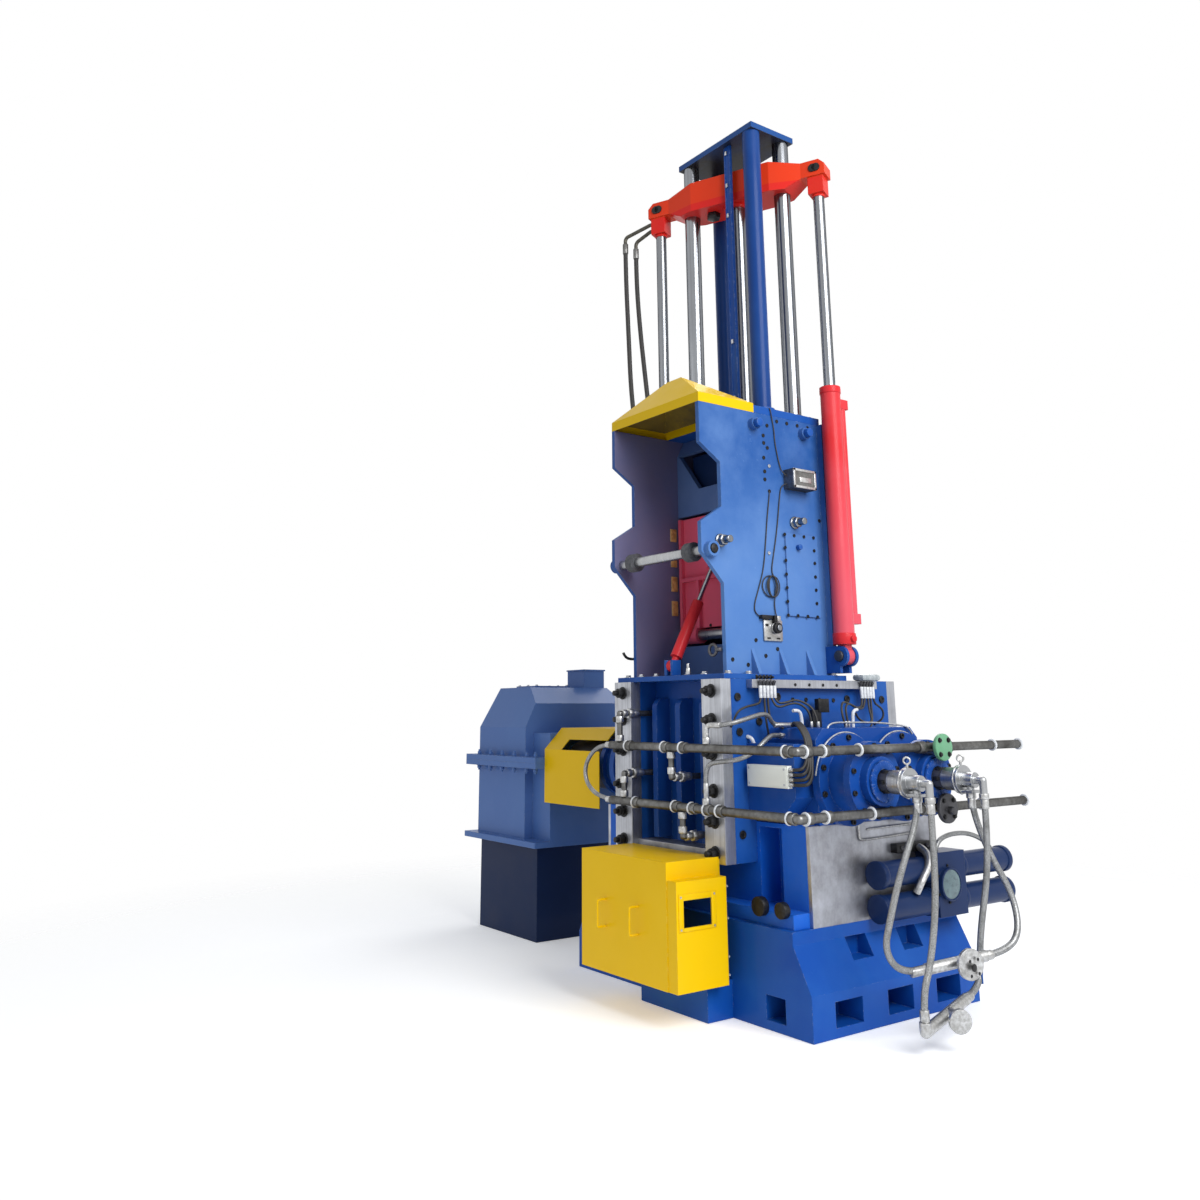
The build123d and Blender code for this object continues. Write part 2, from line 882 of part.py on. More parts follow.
def feed_eye(y, z, hole):
    half = feed_eye_width / 2
    eye = rod((-half, y, z), (half, y, z), feed_eye_radius)
    return eye - rod((-half - cut_over, y, z), (half + cut_over, y, z), hole)


def feed_barrel():
    barrel = rod(feed_axis(feed_barrel_start), feed_axis(feed_barrel_end), feed_barrel_radius)
    barrel -= rod(feed_axis(feed_barrel_start + feed_barrel_radius), feed_axis(feed_barrel_end + cut_over),
                  feed_rod_radius + running_gap)
    barrel += rod(feed_axis(feed_pin_radius + feed_eye_width / 4), feed_axis(feed_barrel_start), feed_eye_width / 2)
    return barrel + feed_eye(cylinder_foot_y, cylinder_foot_height, feed_pin_radius + running_gap)


def feed_rod():
    tip = feed_stroke_line.length - feed_eye_radius + pin_slack / 2
    bar = rod(feed_axis(feed_barrel_end - feed_rod_tail), feed_axis(tip), feed_rod_radius)
    return bar + feed_eye(cylinder_head_y, cylinder_head_height, feed_pin_radius + pin_slack)


def feed_bracket():
    inner = feed_eye_width / 2 + running_gap
    half = feed_eye_radius
    top = cylinder_foot_height + half
    lugs = Part()
    for left in (-inner - feed_lug_thickness, inner):
        lugs += slab(left, left + feed_lug_thickness, cylinder_foot_y - half, cylinder_foot_y + half, foot_top, top)
    reach = inner + feed_lug_thickness
    lugs += rod((-reach, cylinder_foot_y, cylinder_foot_height), (reach, cylinder_foot_y, cylinder_foot_height),
                feed_pin_radius)
    return lugs


def cross_shaft():
    reach = cheek_outer_x + cross_shaft_end
    return rod((-reach, cross_shaft_y, cross_shaft_height), (reach, cross_shaft_y, cross_shaft_height),
               cross_shaft_radius)


def roller(x):
    half = roller_width / 2
    ring = rod((x - half, cross_shaft_y, cross_shaft_height), (x + half, cross_shaft_y, cross_shaft_height),
               roller_radius)
    return ring - rod((x - roller_width, cross_shaft_y, cross_shaft_height),
                      (x + roller_width, cross_shaft_y, cross_shaft_height), cross_shaft_radius)


def hood_solid(inset):
    front = inset - cheek_front - top_bump_reach
    back = -tower_plate_front - inset
    skirt_top = hopper_top + hood_skirt - inset
    ridge_top = hopper_top + hood_height - inset
    side_half = cheek_outer_x - inset
    ends = [
        (side_half, hopper_top),
        (side_half, skirt_top),
        (hood_ridge_half_width, ridge_top),
    ]
    slopes = [
        (front, hopper_top),
        (front, skirt_top),
        (hood_ridge_setback - cheek_front - top_bump_reach, ridge_top),
        (back, skirt_top),
        (back, hopper_top),
    ]
    return plate_xz(both_sides(ends), front, back) & plate_yz(slopes, -side_half, side_half)


def dust_hood():
    return hood_solid(0) - hood_solid(hood_sheet)


def tower_base():
    plate = slab(-cheek_outer_x, cheek_outer_x, -tower_plate_front, cheek_back, hopper_top, tower_base_top)
    low, high = hopper_top - cut_over, tower_base_top + cut_over
    return plate - rod((0, 0, low), (0, 0, high), ram_rod_radius + running_gap)


def upright(x, y, radius):
    return rod((x, y, tower_base_top), (x, y, column_top), radius)


def top_plate():
    half_length = column_x + post_radius + top_plate_end_margin
    half_width = column_y + post_radius + top_plate_side_margin
    return slab(-half_length, half_length, -half_width, half_width, column_top, tower_top)


def sensor_rail():
    return slab(rail_x - rail_width / 2, rail_x + rail_width / 2, rail_y - rail_thickness / 2,
                rail_y + rail_thickness / 2, tower_base_top, column_top)


def crosshead():
    side = [
        (beam_middle_half, beam_bottom),
        (beam_arm_half, beam_arm_bottom),
        (beam_half_length, beam_arm_bottom),
        (beam_half_length, beam_tip_top - beam_tip_chamfer),
        (beam_half_length - beam_tip_chamfer, beam_tip_top),
        (beam_arm_half, beam_tip_top),
        (beam_waist_half, beam_top),
    ]
    beam = plate_xz(both_sides(side), -beam_half_width, beam_half_width)
    plan = [
        (beam_half_length, -beam_tip_half_width),
        (beam_half_length, beam_tip_half_width),
        (beam_arm_half, beam_tip_half_width),
        (beam_waist_half, beam_half_width),
    ]
    plan += [(-x, y) for x, y in reversed(plan[1:])] + [(-x, -y) for x, y in plan[1:]]
    plan += [(x, -y) for x, y in reversed(plan[2:4])]
    beam &= plate_xy(plan, beam_bottom, beam_top)
    half = rod_block_width / 2
    for x in (-lift_distance, lift_distance):
        beam += slab(x - half, x + half, -half, half, rod_block_bottom, beam_arm_bottom)
    beam = Rot(0, 0, beam_angle) * beam
    for x, y in ((column_x, column_y), (-column_x, -column_y)):
        beam -= rod((x, y, beam_bottom - cut_over), (x, y, beam_top + cut_over), column_radius + running_gap)
    return beam


def ram_rod():
    return rod((0, 0, weight_top), (0, 0, beam_bottom), ram_rod_radius)


def ram_weight():
    half = [
        (weight_half_depth, weight_bottom + weight_ridge),
        (weight_half_depth, weight_top),
    ]
    outline = [(0, weight_bottom)] + both_sides(half)
    return plate_yz(outline, -weight_half_length, weight_half_length)


def lift_rod(x, y):
    return rod((x, y, lift_barrel_top - lift_rod_tail), (x, y, rod_block_bottom), lift_rod_radius)


def lift_cylinder(side):
    x, y = side * lift_x, side * lift_y
    barrel = rod((x, y, lift_barrel_bottom), (x, y, lift_barrel_top), lift_barrel_radius)
    barrel -= rod((x, y, lift_barrel_bottom + lift_floor), (x, y, lift_barrel_top + cut_over),
                  lift_rod_radius + running_gap)
    half = lift_eye_width / 2
    barrel += rod((x, y - half, lift_eye_height), (x, y + half, lift_eye_height), lift_eye_radius)
    barrel += slab(x - half, x + half, y - half, y + half, lift_eye_height, lift_barrel_bottom)
    pipe_y = y + lift_barrel_radius + side_pipe_gap + side_pipe_radius
    low, high = lift_barrel_bottom + side_block_rise, lift_barrel_top - side_block_drop
    barrel += rod((x, pipe_y, low), (x, pipe_y, high), side_pipe_radius)
    near = y + lift_rod_radius + side_block_reach
    far = pipe_y + side_pipe_radius + side_block_reach
    for z in (low, high - side_block_height):
        barrel += slab(x - side_pipe_radius, x + side_pipe_radius, near, far, z, z + side_block_height)
    return barrel - rod((x, y - lift_eye_width, lift_eye_height), (x, y + lift_eye_width, lift_eye_height),
                        lift_pin_radius)


def lift_bracket():
    top = lift_eye_height + lift_lug_radius
    inner = lift_eye_width / 2
    lugs = Part()
    for y in (lift_y - inner - lift_lug_thickness, lift_y + inner):
        far = y + lift_lug_thickness
        lugs += slab(cheek_outer_x, lift_x, y, far, foot_top + lift_lug_rise, top)
        lugs += rod((lift_x, y, lift_eye_height), (lift_x, far, lift_eye_height), lift_lug_radius)
    reach = inner + lift_lug_thickness
    front, back = lift_y - reach, lift_y + reach
    return lugs + rod((lift_x, front, lift_eye_height), (lift_x, back, lift_eye_height), lift_pin_radius)


def header(z, flange_radius):
    left = (-frame_inner_x - header_tail, header_front_y, z)
    corner = (header_end_x, header_front_y, z)
    pipe = rod(left, corner, header_radius) + rod(corner, (header_end_x, header_back_y, z), header_radius)
    pipe += Pos(*corner) * Sphere(header_radius)
    tee_end = header_end_x + tee_reach
    pipe += rod((header_end_x, tee_y, z), (tee_end, tee_y, z), tee_radius)
    return pipe + rod((tee_end, tee_y, z), (tee_end + tee_flange_thickness, tee_y, z), flange_radius)


def header_branch(x, z, rise):
    start = (x, header_front_y, z + header_radius * rise / abs(rise))
    corner = (x, header_front_y, z + rise)
    leg = rod(start, corner, branch_radius) + Pos(*corner) * Sphere(branch_radius)
    return leg + rod(corner, (x, -wall_front_y, z + rise), branch_radius)


def supply_branches():
    left = header_branch(branch_bar_gap - frame_inner_x, supply_height, supply_leg_rise)
    return left, header_branch(wall_rib_pitch - branch_right_gap, supply_height, -supply_leg_drop)


def return_branches():
    left = header_branch(-wall_rib_pitch - branch_left_gap, return_height, return_leg_rise)
    return left, header_branch(wall_rib_pitch + branch_right_gap, return_height, -return_leg_drop)


def discharge_actuator():
    start, end = base_top_half_length, base_top_half_length + actuator_reach
    half = actuator_width / 2
    bottom = base_height - actuator_drop
    body = slab(start, end, actuator_y - half, actuator_y + half, bottom, bottom + actuator_height)
    middle = bottom + actuator_height / 2
    dial_y = actuator_y - actuator_dial_offset
    body += rod((end, dial_y, middle), (end + actuator_dial_thickness, dial_y, middle), actuator_dial_radius)
    axis_x = (start + end) / 2
    for rise in (actuator_low_rise, actuator_high_rise):
        z = bottom + rise
        body += rod((axis_x, actuator_barrel_front, z), (axis_x, actuator_barrel_back, z), actuator_barrel_radius)
    return body


def box_bracket():
    bottom = bed_height + bracket_foot_gap
    right = frame_outer_x + bracket_length
    outline = [
        (frame_outer_x, bottom),
        (right - bracket_chamfer, bottom),
        (right, bottom + bracket_chamfer),
        (right, bottom + bracket_height),
        (frame_outer_x, bottom + bracket_height),
    ]
    return plate_xz(outline, -block_half_width - bracket_front_reach, -block_half_width)


def junction_box():
    back = -block_half_width - bracket_front_reach
    left = frame_outer_x + box_inset
    bottom = bed_height + bracket_foot_gap + box_rise
    return slab(left, left + box_length, back - box_depth, back, bottom, bottom + box_height)


def sensor_box():
    half, tall = sensor_box_width / 2, sensor_box_height / 2
    middle = hopper_top - sensor_box_drop
    return slab(cheek_outer_x, cheek_outer_x + sensor_box_depth, sensor_box_y - half, sensor_box_y + half,
                middle - tall, middle + tall)


def lube_bar():
    bottom = chamber_top - lube_bar_drop
    return slab(frame_outer_x, frame_outer_x + lube_bar_depth, lube_bar_front_inset - frame_half_width,
                frame_half_width - lube_bar_back_inset, bottom, bottom + lube_bar_height)


def gear_flange(z0, z1):
    reach = gear_half_width + gear_flange_reach
    return slab(gear_tail_x, gear_near_x, -reach, reach, z0, z1)


def gear_blocks(z0, z1, input_z0, input_z1):
    block = slab(gear_face_x, gear_near_x, -gear_block_half_width, gear_block_half_width, z0, z1)
    half = input_block_half_width
    return [block, slab(gear_tail_x, gear_far_x, -half, half, input_z0, input_z1)]


def gear_lower():
    body = slab(gear_far_x, gear_face_x, -gear_half_width, gear_half_width, gear_foot_height, rotor_height)
    body += gear_blocks(gear_foot_height, rotor_height, rotor_height - input_block_half_width, rotor_height)
    body += gear_flange(rotor_height - gear_flange_thickness, rotor_height)
    body += gear_flange(gear_foot_height, gear_foot_height + gear_flange_thickness)
    return gear_bosses(body, -1)


def gear_upper():
    cover_top = rotor_height + gear_cover_height
    across = [
        (gear_half_width, rotor_height),
        (gear_half_width, cover_top - gear_shoulder_drop),
        (gear_half_width - gear_shoulder_inset, cover_top),
    ]
    along = [
        (gear_face_x, rotor_height),
        (gear_face_x, cover_top - gear_front_drop),
        (gear_face_x - gear_front_lean, cover_top),
        (gear_far_x + gear_far_lean, cover_top),
        (gear_far_x, cover_top - gear_shoulder_drop),
        (gear_far_x, rotor_height),
    ]
    body = plate_yz(both_sides(across), gear_far_x, gear_face_x)
    body &= plate_xz(along, -gear_half_width, gear_half_width)
    input_top = rotor_height + input_block_half_width
    body += gear_blocks(rotor_height, rotor_height + gear_block_rise, rotor_height, input_top)
    body += gear_flange(rotor_height, rotor_height + gear_flange_thickness)
    box_x = gear_face_x - top_box_setback
    body += slab(box_x - top_box_length, box_x, top_box_front, top_box_front + top_box_width,
                 cover_top, cover_top + top_box_height)
    return gear_bosses(body, 1)


def gear_bosses(body, side):
    tip = gear_near_x + gear_boss_length
    for y in (-rotor_y, rotor_y):
        boss = rod((gear_near_x, y, rotor_height), (tip, y, rotor_height), gear_boss_radius)
        reach = gear_boss_radius + cut_over
        away = rotor_height - side * reach
        low, high = sorted((rotor_height, away))
        boss -= slab(gear_near_x - cut_over, tip + cut_over, y - reach, y + reach, low, high)
        body += boss
    for y in (-rotor_y, rotor_y):
        bore_end = (tip + cut_over, y, rotor_height)
        body -= rod((gear_near_x, y, rotor_height), bore_end, journal_radius + running_gap)
    return body


def gear_pedestal():
    inset = gear_foot_inset
    return slab(gear_far_x + inset, gear_near_x - inset, -gear_half_width, gear_half_width, 0, gear_foot_height)


def input_shaft():
    tip = gear_tail_x - input_shaft_length
    return rod((gear_tail_x, 0, rotor_height), (tip, 0, rotor_height), input_shaft_radius)


def coupling_guard():
    bottom = rotor_height - guard_drop
    top = rotor_height + housing_flange_radius + guard_head_room
    outline = [
        (guard_half_width, bottom),
        (guard_half_width, top - guard_chamfer),
        (guard_half_width - guard_chamfer, top),
    ]
    room = guard_half_width - guard_sheet
    hollow = [
        (room, bottom - cut_over),
        (room, top - guard_chamfer),
        (room - guard_chamfer, top - guard_sheet),
    ]
    near, far = -flange_end - guard_end_gap, gear_near_x
    cover = plate_yz(both_sides(outline), far, near)
    cover -= plate_yz(both_sides(hollow), far - cut_over, near + cut_over)
    slot_foot = top - guard_chamfer
    slot_back = guard_slot_height + cut_over - guard_half_width
    return cover - slab(near - guard_slot_length, near + cut_over, -guard_half_width - cut_over, slot_back,
                        slot_foot, slot_foot + guard_slot_height)


def shifted(place, offsets):
    return [Vector(*place) + Vector(x, y, z) for x, y, z in offsets]


def hanging(place, offsets):
    return [Vector(*place) + Vector(x, y, -z) for x, y, z in offsets]


def bend_radius(before, corner, after):
    arriving, leaving = corner - before, after - corner
    turn = arriving.get_angle(leaving)
    return bend_share * min(arriving.length, leaving.length) / tan(radians(turn / 2))


def hose(points, radius):
    places = [Vector(*point) for point in points]
    bends = [bend_radius(*places[i - 1:i + 2]) for i in range(1, len(places) - 1)]
    line = FilletPolyline(*places, radius=bends)
    return sweep(Plane(origin=line @ 0, z_dir=line % 0) * Circle(radius), path=line)


def along_beam(reach, z):
    return Rot(0, 0, beam_angle) * Pos(-lift_distance - rod_block_width / 2 - reach, 0, z)


def hose_pipe(reach, drop, fall):
    z = beam_arm_bottom - drop
    corner = along_beam(reach, z - fall).position
    end = corner - Vector(0, 0, pipe_elbow_drop)
    return hose([along_beam(0, z).position, along_beam(pipe_stub, z).position, corner, end], hose_pipe_radius)


def ram_hose(reach, drop, fall, boss_y, boss_drop, from_top, from_foot):
    top = along_beam(reach, beam_arm_bottom - drop - fall - pipe_elbow_drop).position
    foot = (-cheek_outer_x - hose_boss_reach / 2, boss_y, hopper_top - boss_drop)
    points = [top] + hanging(top, from_top) + shifted(foot, from_foot) + [foot]
    return hose(points, ram_hose_radius)


def from_joint(place, side):
    x, y, z = place
    return Vector(outlet_x + x, side * rotor_y + y, rotor_height + z - outlet_drop)


upper_left = from_joint(upper_left_place, -1)
upper_right = from_joint(upper_right_place, 1)
lower_left = from_joint(lower_left_place, -1)
lower_right = from_joint(lower_right_place, 1)
upper_run = (upper_right - upper_left).normalized()
lower_run = (lower_right - lower_left).normalized()
lower_elbow = lower_left - lower_run * lower_elbow_run
lower_elbow_top = lower_elbow + Vector(0, 0, lower_elbow_rise)


def flanged_pipe(start, end, share, run, flange_radius):
    pipe = rod(start, end, manifold_radius)
    branch = start + (end - start) * share
    seat = branch + Vector(*run)
    pipe += rod(branch, seat, manifold_radius)
    return pipe + rod(seat, seat + Vector(*run).normalized() * manifold_flange_thickness, flange_radius)


def upper_manifold():
    return flanged_pipe(upper_left, upper_right, upper_neck_share, upper_neck_run, upper_flange_radius)


def lower_manifold():
    pipe = flanged_pipe(lower_left, lower_right, lower_neck_share, lower_neck_run, lower_flange_radius)
    pipe += rod(lower_elbow, lower_left, manifold_radius) + Pos(*lower_elbow) * Sphere(manifold_radius)
    return pipe + rod(lower_elbow, lower_elbow_top, manifold_radius)


def water_hose(x, side, from_top, from_end, end, run):
    top = Vector(x, side * rotor_y, outlet_height)
    lead = [] if run is None else [end + run * lead_in_run]
    last = end if run is None else lead[0]
    points = [top] + hanging(top, from_top) + shifted(last, from_end) + lead + [end]
    return hose(points, water_hose_radius)


os.makedirs("parts", exist_ok=True)

save("base_frame", base_frame())
save("latch_pedestal", latch_pedestal())
save("latch_guard", latch_guard())
save("bed_block", bed_block())
save("bed_faces", *at_both_ends(bed_face()))
save("end_frames", *at_both_ends(end_frame()))
save("tie_bars", *at_both_ends(tie_bar()), *at_both_ends(other_side(tie_bar())))
save("chamber_wall_front", chamber_wall())
save("chamber_wall_rear", other_side(chamber_wall()))
save("drop_door", drop_door())
save("sill_plates", sill_plate(), other_side(sill_plate()))
save("bearing_blocks", *at_both_ends(bearing_block()))
save("bearing_housings", *at_both_ends(bearing_housing()), *at_both_ends(other_side(bearing_housing())))
save("rotor_front", rotor(-1))
save("rotor_rear", rotor(1))
save("rotary_joints", rotary_joint(), other_side(rotary_joint()))
save("hopper_cheek_water", water_cheek())
save("hopper_cheek_drive", drive_cheek())
save("hopper_foot", hopper_foot())
save("hopper_back_wall", back_wall())
save("hopper_front_panels", front_panel(), low_panel())
save("feed_door", feed_door())
save("feed_door_shaft", hinge_shaft())
save("feed_cylinder", feed_barrel())
save("feed_cylinder_rod", feed_rod())
save("cross_shaft", cross_shaft())
save("cross_shaft_rollers", roller(-roller_pitch / 2), roller(roller_pitch / 2))
save("dust_hood", dust_hood())
save("tower_base", tower_base())
save("guide_columns", upright(column_x, column_y, column_radius), upright(-column_x, -column_y, column_radius))
save("tower_posts", upright(column_x, -column_y, post_radius), upright(-column_x, column_y, post_radius))
save("tower_top_plate", top_plate())
save("sensor_rail", sensor_rail())
save("crosshead", crosshead())
save("ram_rod", ram_rod())
save("ram_weight", ram_weight())
save("lift_rods", lift_rod(lift_x, lift_y), lift_rod(-lift_x, -lift_y))
save("lift_cylinders", lift_cylinder(1), lift_cylinder(-1))
save("cylinder_brackets", feed_bracket(), lift_bracket(), Rot(0, 0, 180) * lift_bracket())
save("cooling_headers", header(supply_height, supply_flange_radius), header(return_height, return_flange_radius))
save("cooling_branches", *supply_branches(), *return_branches())
save("discharge_actuator", discharge_actuator())
save("box_bracket", box_bracket())
save("junction_box", junction_box())
save("sensor_box", sensor_box())
save("lubrication_bar", lube_bar())
save("gearbox_lower_case", gear_lower())
save("gearbox_upper_case", gear_upper())
save("gearbox_pedestal", gear_pedestal())
save("gearbox_input_shaft", input_shaft())
save("coupling_guard", coupling_guard())
save("ram_hose_pipes", hose_pipe(outer_pipe_reach, outer_pipe_drop, outer_pipe_fall),
     hose_pipe(inner_pipe_reach, inner_pipe_drop, inner_pipe_fall))
save("ram_hose_outer", ram_hose(outer_pipe_reach, outer_pipe_drop, outer_pipe_fall, outer_boss_y,
                                outer_boss_drop, outer_hose_from_top, outer_hose_from_foot))
save("ram_hose_inner", ram_hose(inner_pipe_reach, inner_pipe_drop, inner_pipe_fall, inner_boss_y,
                                inner_boss_drop, inner_hose_from_top, inner_hose_from_foot))
save("water_manifolds", upper_manifold(), lower_manifold())
save("water_hose_front_outlet", water_hose(outlet_x, -1, front_outlet_from_top, front_outlet_from_end,
                                           upper_left, -upper_run))
save("water_hose_rear_outlet", water_hose(outlet_x, 1, rear_outlet_from_top, rear_outlet_from_end,
                                          upper_right, upper_run))
save("water_hose_front_elbow", water_hose(elbow_x, -1, front_elbow_from_top, front_elbow_from_end,
                                          lower_elbow_top, None))
save("water_hose_rear_elbow", water_hose(elbow_x, 1, rear_elbow_from_top, rear_elbow_from_end,
                                         lower_right, lower_run))
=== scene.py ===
import json
from math import cos, pi, radians, sin
import bpy
from mathutils import Matrix, Vector


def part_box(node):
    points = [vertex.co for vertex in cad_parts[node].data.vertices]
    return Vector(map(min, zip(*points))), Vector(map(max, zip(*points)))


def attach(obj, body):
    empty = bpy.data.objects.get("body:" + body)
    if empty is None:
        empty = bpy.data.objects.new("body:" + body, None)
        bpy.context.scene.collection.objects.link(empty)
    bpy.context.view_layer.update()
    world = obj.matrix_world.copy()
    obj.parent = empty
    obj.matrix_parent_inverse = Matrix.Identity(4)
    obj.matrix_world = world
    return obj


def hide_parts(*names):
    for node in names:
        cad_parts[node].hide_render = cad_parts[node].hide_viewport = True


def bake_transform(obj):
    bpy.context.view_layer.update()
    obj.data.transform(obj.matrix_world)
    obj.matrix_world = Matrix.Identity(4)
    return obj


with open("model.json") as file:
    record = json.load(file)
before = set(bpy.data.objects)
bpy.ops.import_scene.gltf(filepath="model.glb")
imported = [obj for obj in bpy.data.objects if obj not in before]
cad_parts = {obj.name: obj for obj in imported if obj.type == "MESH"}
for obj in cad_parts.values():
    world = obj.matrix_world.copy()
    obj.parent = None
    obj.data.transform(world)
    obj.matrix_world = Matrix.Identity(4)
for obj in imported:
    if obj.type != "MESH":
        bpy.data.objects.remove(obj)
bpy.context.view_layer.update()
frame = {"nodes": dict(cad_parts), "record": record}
nodes = frame["nodes"]

scene = bpy.context.scene
scene.view_settings.view_transform = "Standard"


# Handling of pieces

SHARP_ANGLE, SMOOTH_ANGLE = radians(40), radians(35)
COLLAR_SIDES = 44


def pick(*pieces):
    bpy.ops.object.select_all(action="DESELECT")
    for piece in pieces:
        piece.select_set(True)
    bpy.context.view_layer.objects.active = pieces[0]


def set_place(piece):
    pick(piece)
    bpy.ops.object.transform_apply(location=True, rotation=True, scale=True)
    return piece


def joined(pieces):
    pick(*pieces)
    if len(pieces) > 1:
        bpy.ops.object.join()
    return bpy.context.view_layer.objects.active


def soften(piece, width, segments=2):
    pick(piece)
    edge = piece.modifiers.new("softened edges", "BEVEL")
    edge.width = width
    edge.segments = segments
    edge.limit_method = "ANGLE"
    edge.angle_limit = SHARP_ANGLE
    bpy.ops.object.modifier_apply(modifier=edge.name)
    return piece


def finish_piece(piece, name, finish, body="frame"):
    """Names and finishes a piece and fixes it to a body."""
    piece.name = name
    piece.data.name = name
    piece.data.materials.clear()
    piece.data.materials.append(finish)
    pick(piece)
    bpy.ops.object.shade_smooth_by_angle(angle=SMOOTH_ANGLE)
    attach(piece, body)


def stand(piece, middle, axis):
    turn = Vector((0, 0, 1)).rotation_difference(Vector(axis))
    piece.matrix_world = Matrix.LocRotScale(Vector(middle), turn, None)
    return set_place(piece)


def block(low, high, edge):
    low, high = Vector(low), Vector(high)
    bpy.ops.mesh.primitive_cube_add(size=1, location=(low + high) / 2)
    piece = bpy.context.object
    piece.scale = high - low
    return soften(set_place(piece), edge)


def turned(start, end, radius, edge, sides):
    start, end = Vector(start), Vector(end)
    run = end - start
    bpy.ops.mesh.primitive_cone_add(vertices=sides, radius1=radius, radius2=radius, depth=run.length)
    return soften(stand(bpy.context.object, (start + end) / 2, run), edge)


def spun(piece, sides, weld):
    """The picked outline swept once round the Z axis."""
    set_place(piece)
    bpy.ops.object.mode_set(mode="EDIT")
    bpy.ops.mesh.select_all(action="SELECT")
    bpy.ops.mesh.spin(steps=sides, angle=2 * pi, center=(0, 0, 0), axis=(0, 0, 1))
    bpy.ops.mesh.select_all(action="SELECT")
    bpy.ops.mesh.remove_doubles(threshold=weld)
    bpy.ops.mesh.normals_make_consistent(inside=False)
    bpy.ops.object.mode_set(mode="OBJECT")
    return piece


def ring(middle, axis, radius, thickness, sides, core):
    """A round bar spun into a ring."""
    bpy.ops.mesh.primitive_circle_add(vertices=core, radius=thickness, location=(radius, 0, 0),
                                      rotation=(pi / 2, 0, 0))
    return stand(spun(bpy.context.object, sides, thickness * 0.02), middle, axis)


def collar(middle, axis, inner, outer, thickness):
    """A flat bar spun into a disc with a hole."""
    bpy.ops.mesh.primitive_plane_add(size=1, location=((inner + outer) / 2, 0, 0), rotation=(pi / 2, 0, 0))
    bpy.context.object.scale = (outer - inner, thickness, 1)
    disc = stand(spun(bpy.context.object, COLLAR_SIDES, thickness * 0.02), middle, axis)
    return soften(disc, thickness * 0.3)


def line_through(points, name):
    curve = bpy.data.curves.new(name, "CURVE")
    curve.dimensions = "3D"
    spline = curve.splines.new("NURBS")
    spline.points.add(len(points) - 1)
    for point, place in zip(spline.points, points):
        point.co = (*place, 1)
    spline.order_u = 3
    spline.use_endpoint_u = True
    spline.resolution_u = 8
    piece = bpy.data.objects.new(name, curve)
    scene.collection.objects.link(piece)
    return piece


def thicken(piece, radius, roundness):
    piece.data.bevel_depth = radius
    piece.data.bevel_resolution = roundness
    piece.data.use_fill_caps = True


def tube(points, radius, roundness=3):
    piece = line_through(points, "tube")
    thicken(piece, radius, roundness)
    pick(piece)
    bpy.ops.object.convert(target="MESH")
    return bpy.context.object


def copies(pattern, places, axis):
    turn = Vector((0, 0, 1)).rotation_difference(Vector(axis)).to_matrix().to_4x4()
    made = []
    for place in places:
        one = pattern.copy()
        one.data = pattern.data.copy()
        scene.collection.objects.link(one)
        one.matrix_world = Matrix.Translation(place) @ turn
        made.append(one)
    return made


def drop(piece):
    bpy.data.objects.remove(piece, do_unlink=True)


def spot(node, start, aim):
    """The place where a line from start along aim meets a CAD node."""
    return tuple(nodes[node].ray_cast(Vector(start), Vector(aim))[1])


def bar_x(start, end, y, z, radius, sides):
    return (start, y, z), (end, y, z), radius, sides


def bar_y(x, start, end, z, radius, sides):
    return (x, start, z), (x, end, z), radius, sides


def bar_z(x, y, start, end, radius, sides):
    return (x, y, start), (x, y, end), radius, sides


def rods(name, rows, finish, body="frame"):
    """Turned bars joined into one piece; a row holds start, end, radius and number of sides."""
    made = [turned(start, end, radius, min(radius * 0.14, 0.004), sides)
            for start, end, radius, sides in rows]
    finish_piece(joined(made), name, finish, body)


def plates(name, rows, finish, edge=0.002):
    """Blocks joined into one piece; a row holds the low and the high corner."""
    finish_piece(joined([block(low, high, edge) for low, high in rows]), name, finish)


def lines(name, routes, radius, finish):
    """Bent pipes of one radius joined into one piece."""
    finish_piece(joined([tube(points, radius) for points in routes]), name, finish)


# Finishes

def tone(red, green, blue):
    def linear(value):
        share = value / 255
        return share / 12.92 if share <= 0.04045 else ((share + 0.055) / 1.055) ** 2.4
    return linear(red), linear(green), linear(blue), 1


def feed(tree, node, inputs):
    """Links each output that is given to its input, and sets each plain value on the input itself."""
    for label, value in inputs.items():
        if isinstance(value, bpy.types.NodeSocket):
            tree.links.new(value, node.inputs[label])
        else:
            node.inputs[label].default_value = value


def noise(tree, place, scale, detail, roughness=0.6):
    node = tree.nodes.new("ShaderNodeTexNoise")
    feed(tree, node, {"Vector": place, "Scale": scale, "Detail": detail, "Roughness": roughness})
    return node.outputs["Fac"]


def span(tree, value, low, high, to_low=0.0, to_high=1.0):
    node = tree.nodes.new("ShaderNodeMapRange")
    feed(tree, node, {"Value": value, "From Min": low, "From Max": high, "To Min": to_low, "To Max": to_high})
    return node.outputs["Result"]


def reckon(tree, operation, first, second):
    node = tree.nodes.new("ShaderNodeMath")
    node.operation = operation
    feed(tree, node, {0: first, 1: second})
    return node.outputs[0]


def times(tree, first, second):
    return reckon(tree, "MULTIPLY", first, second)


def larger(tree, first, second):
    return reckon(tree, "MAXIMUM", first, second)


def vectors(tree, operation, *given):
    node = tree.nodes.new("ShaderNodeVectorMath")
    node.operation = operation
    feed(tree, node, dict(enumerate(given)))
    return node.outputs


def axis_part(tree, vector, axis):
    node = tree.nodes.new("ShaderNodeSeparateXYZ")
    feed(tree, node, {0: vector})
    return node.outputs[axis]


def face_normal(tree):
    return tree.nodes.new("ShaderNodeNewGeometry").outputs["True Normal"]


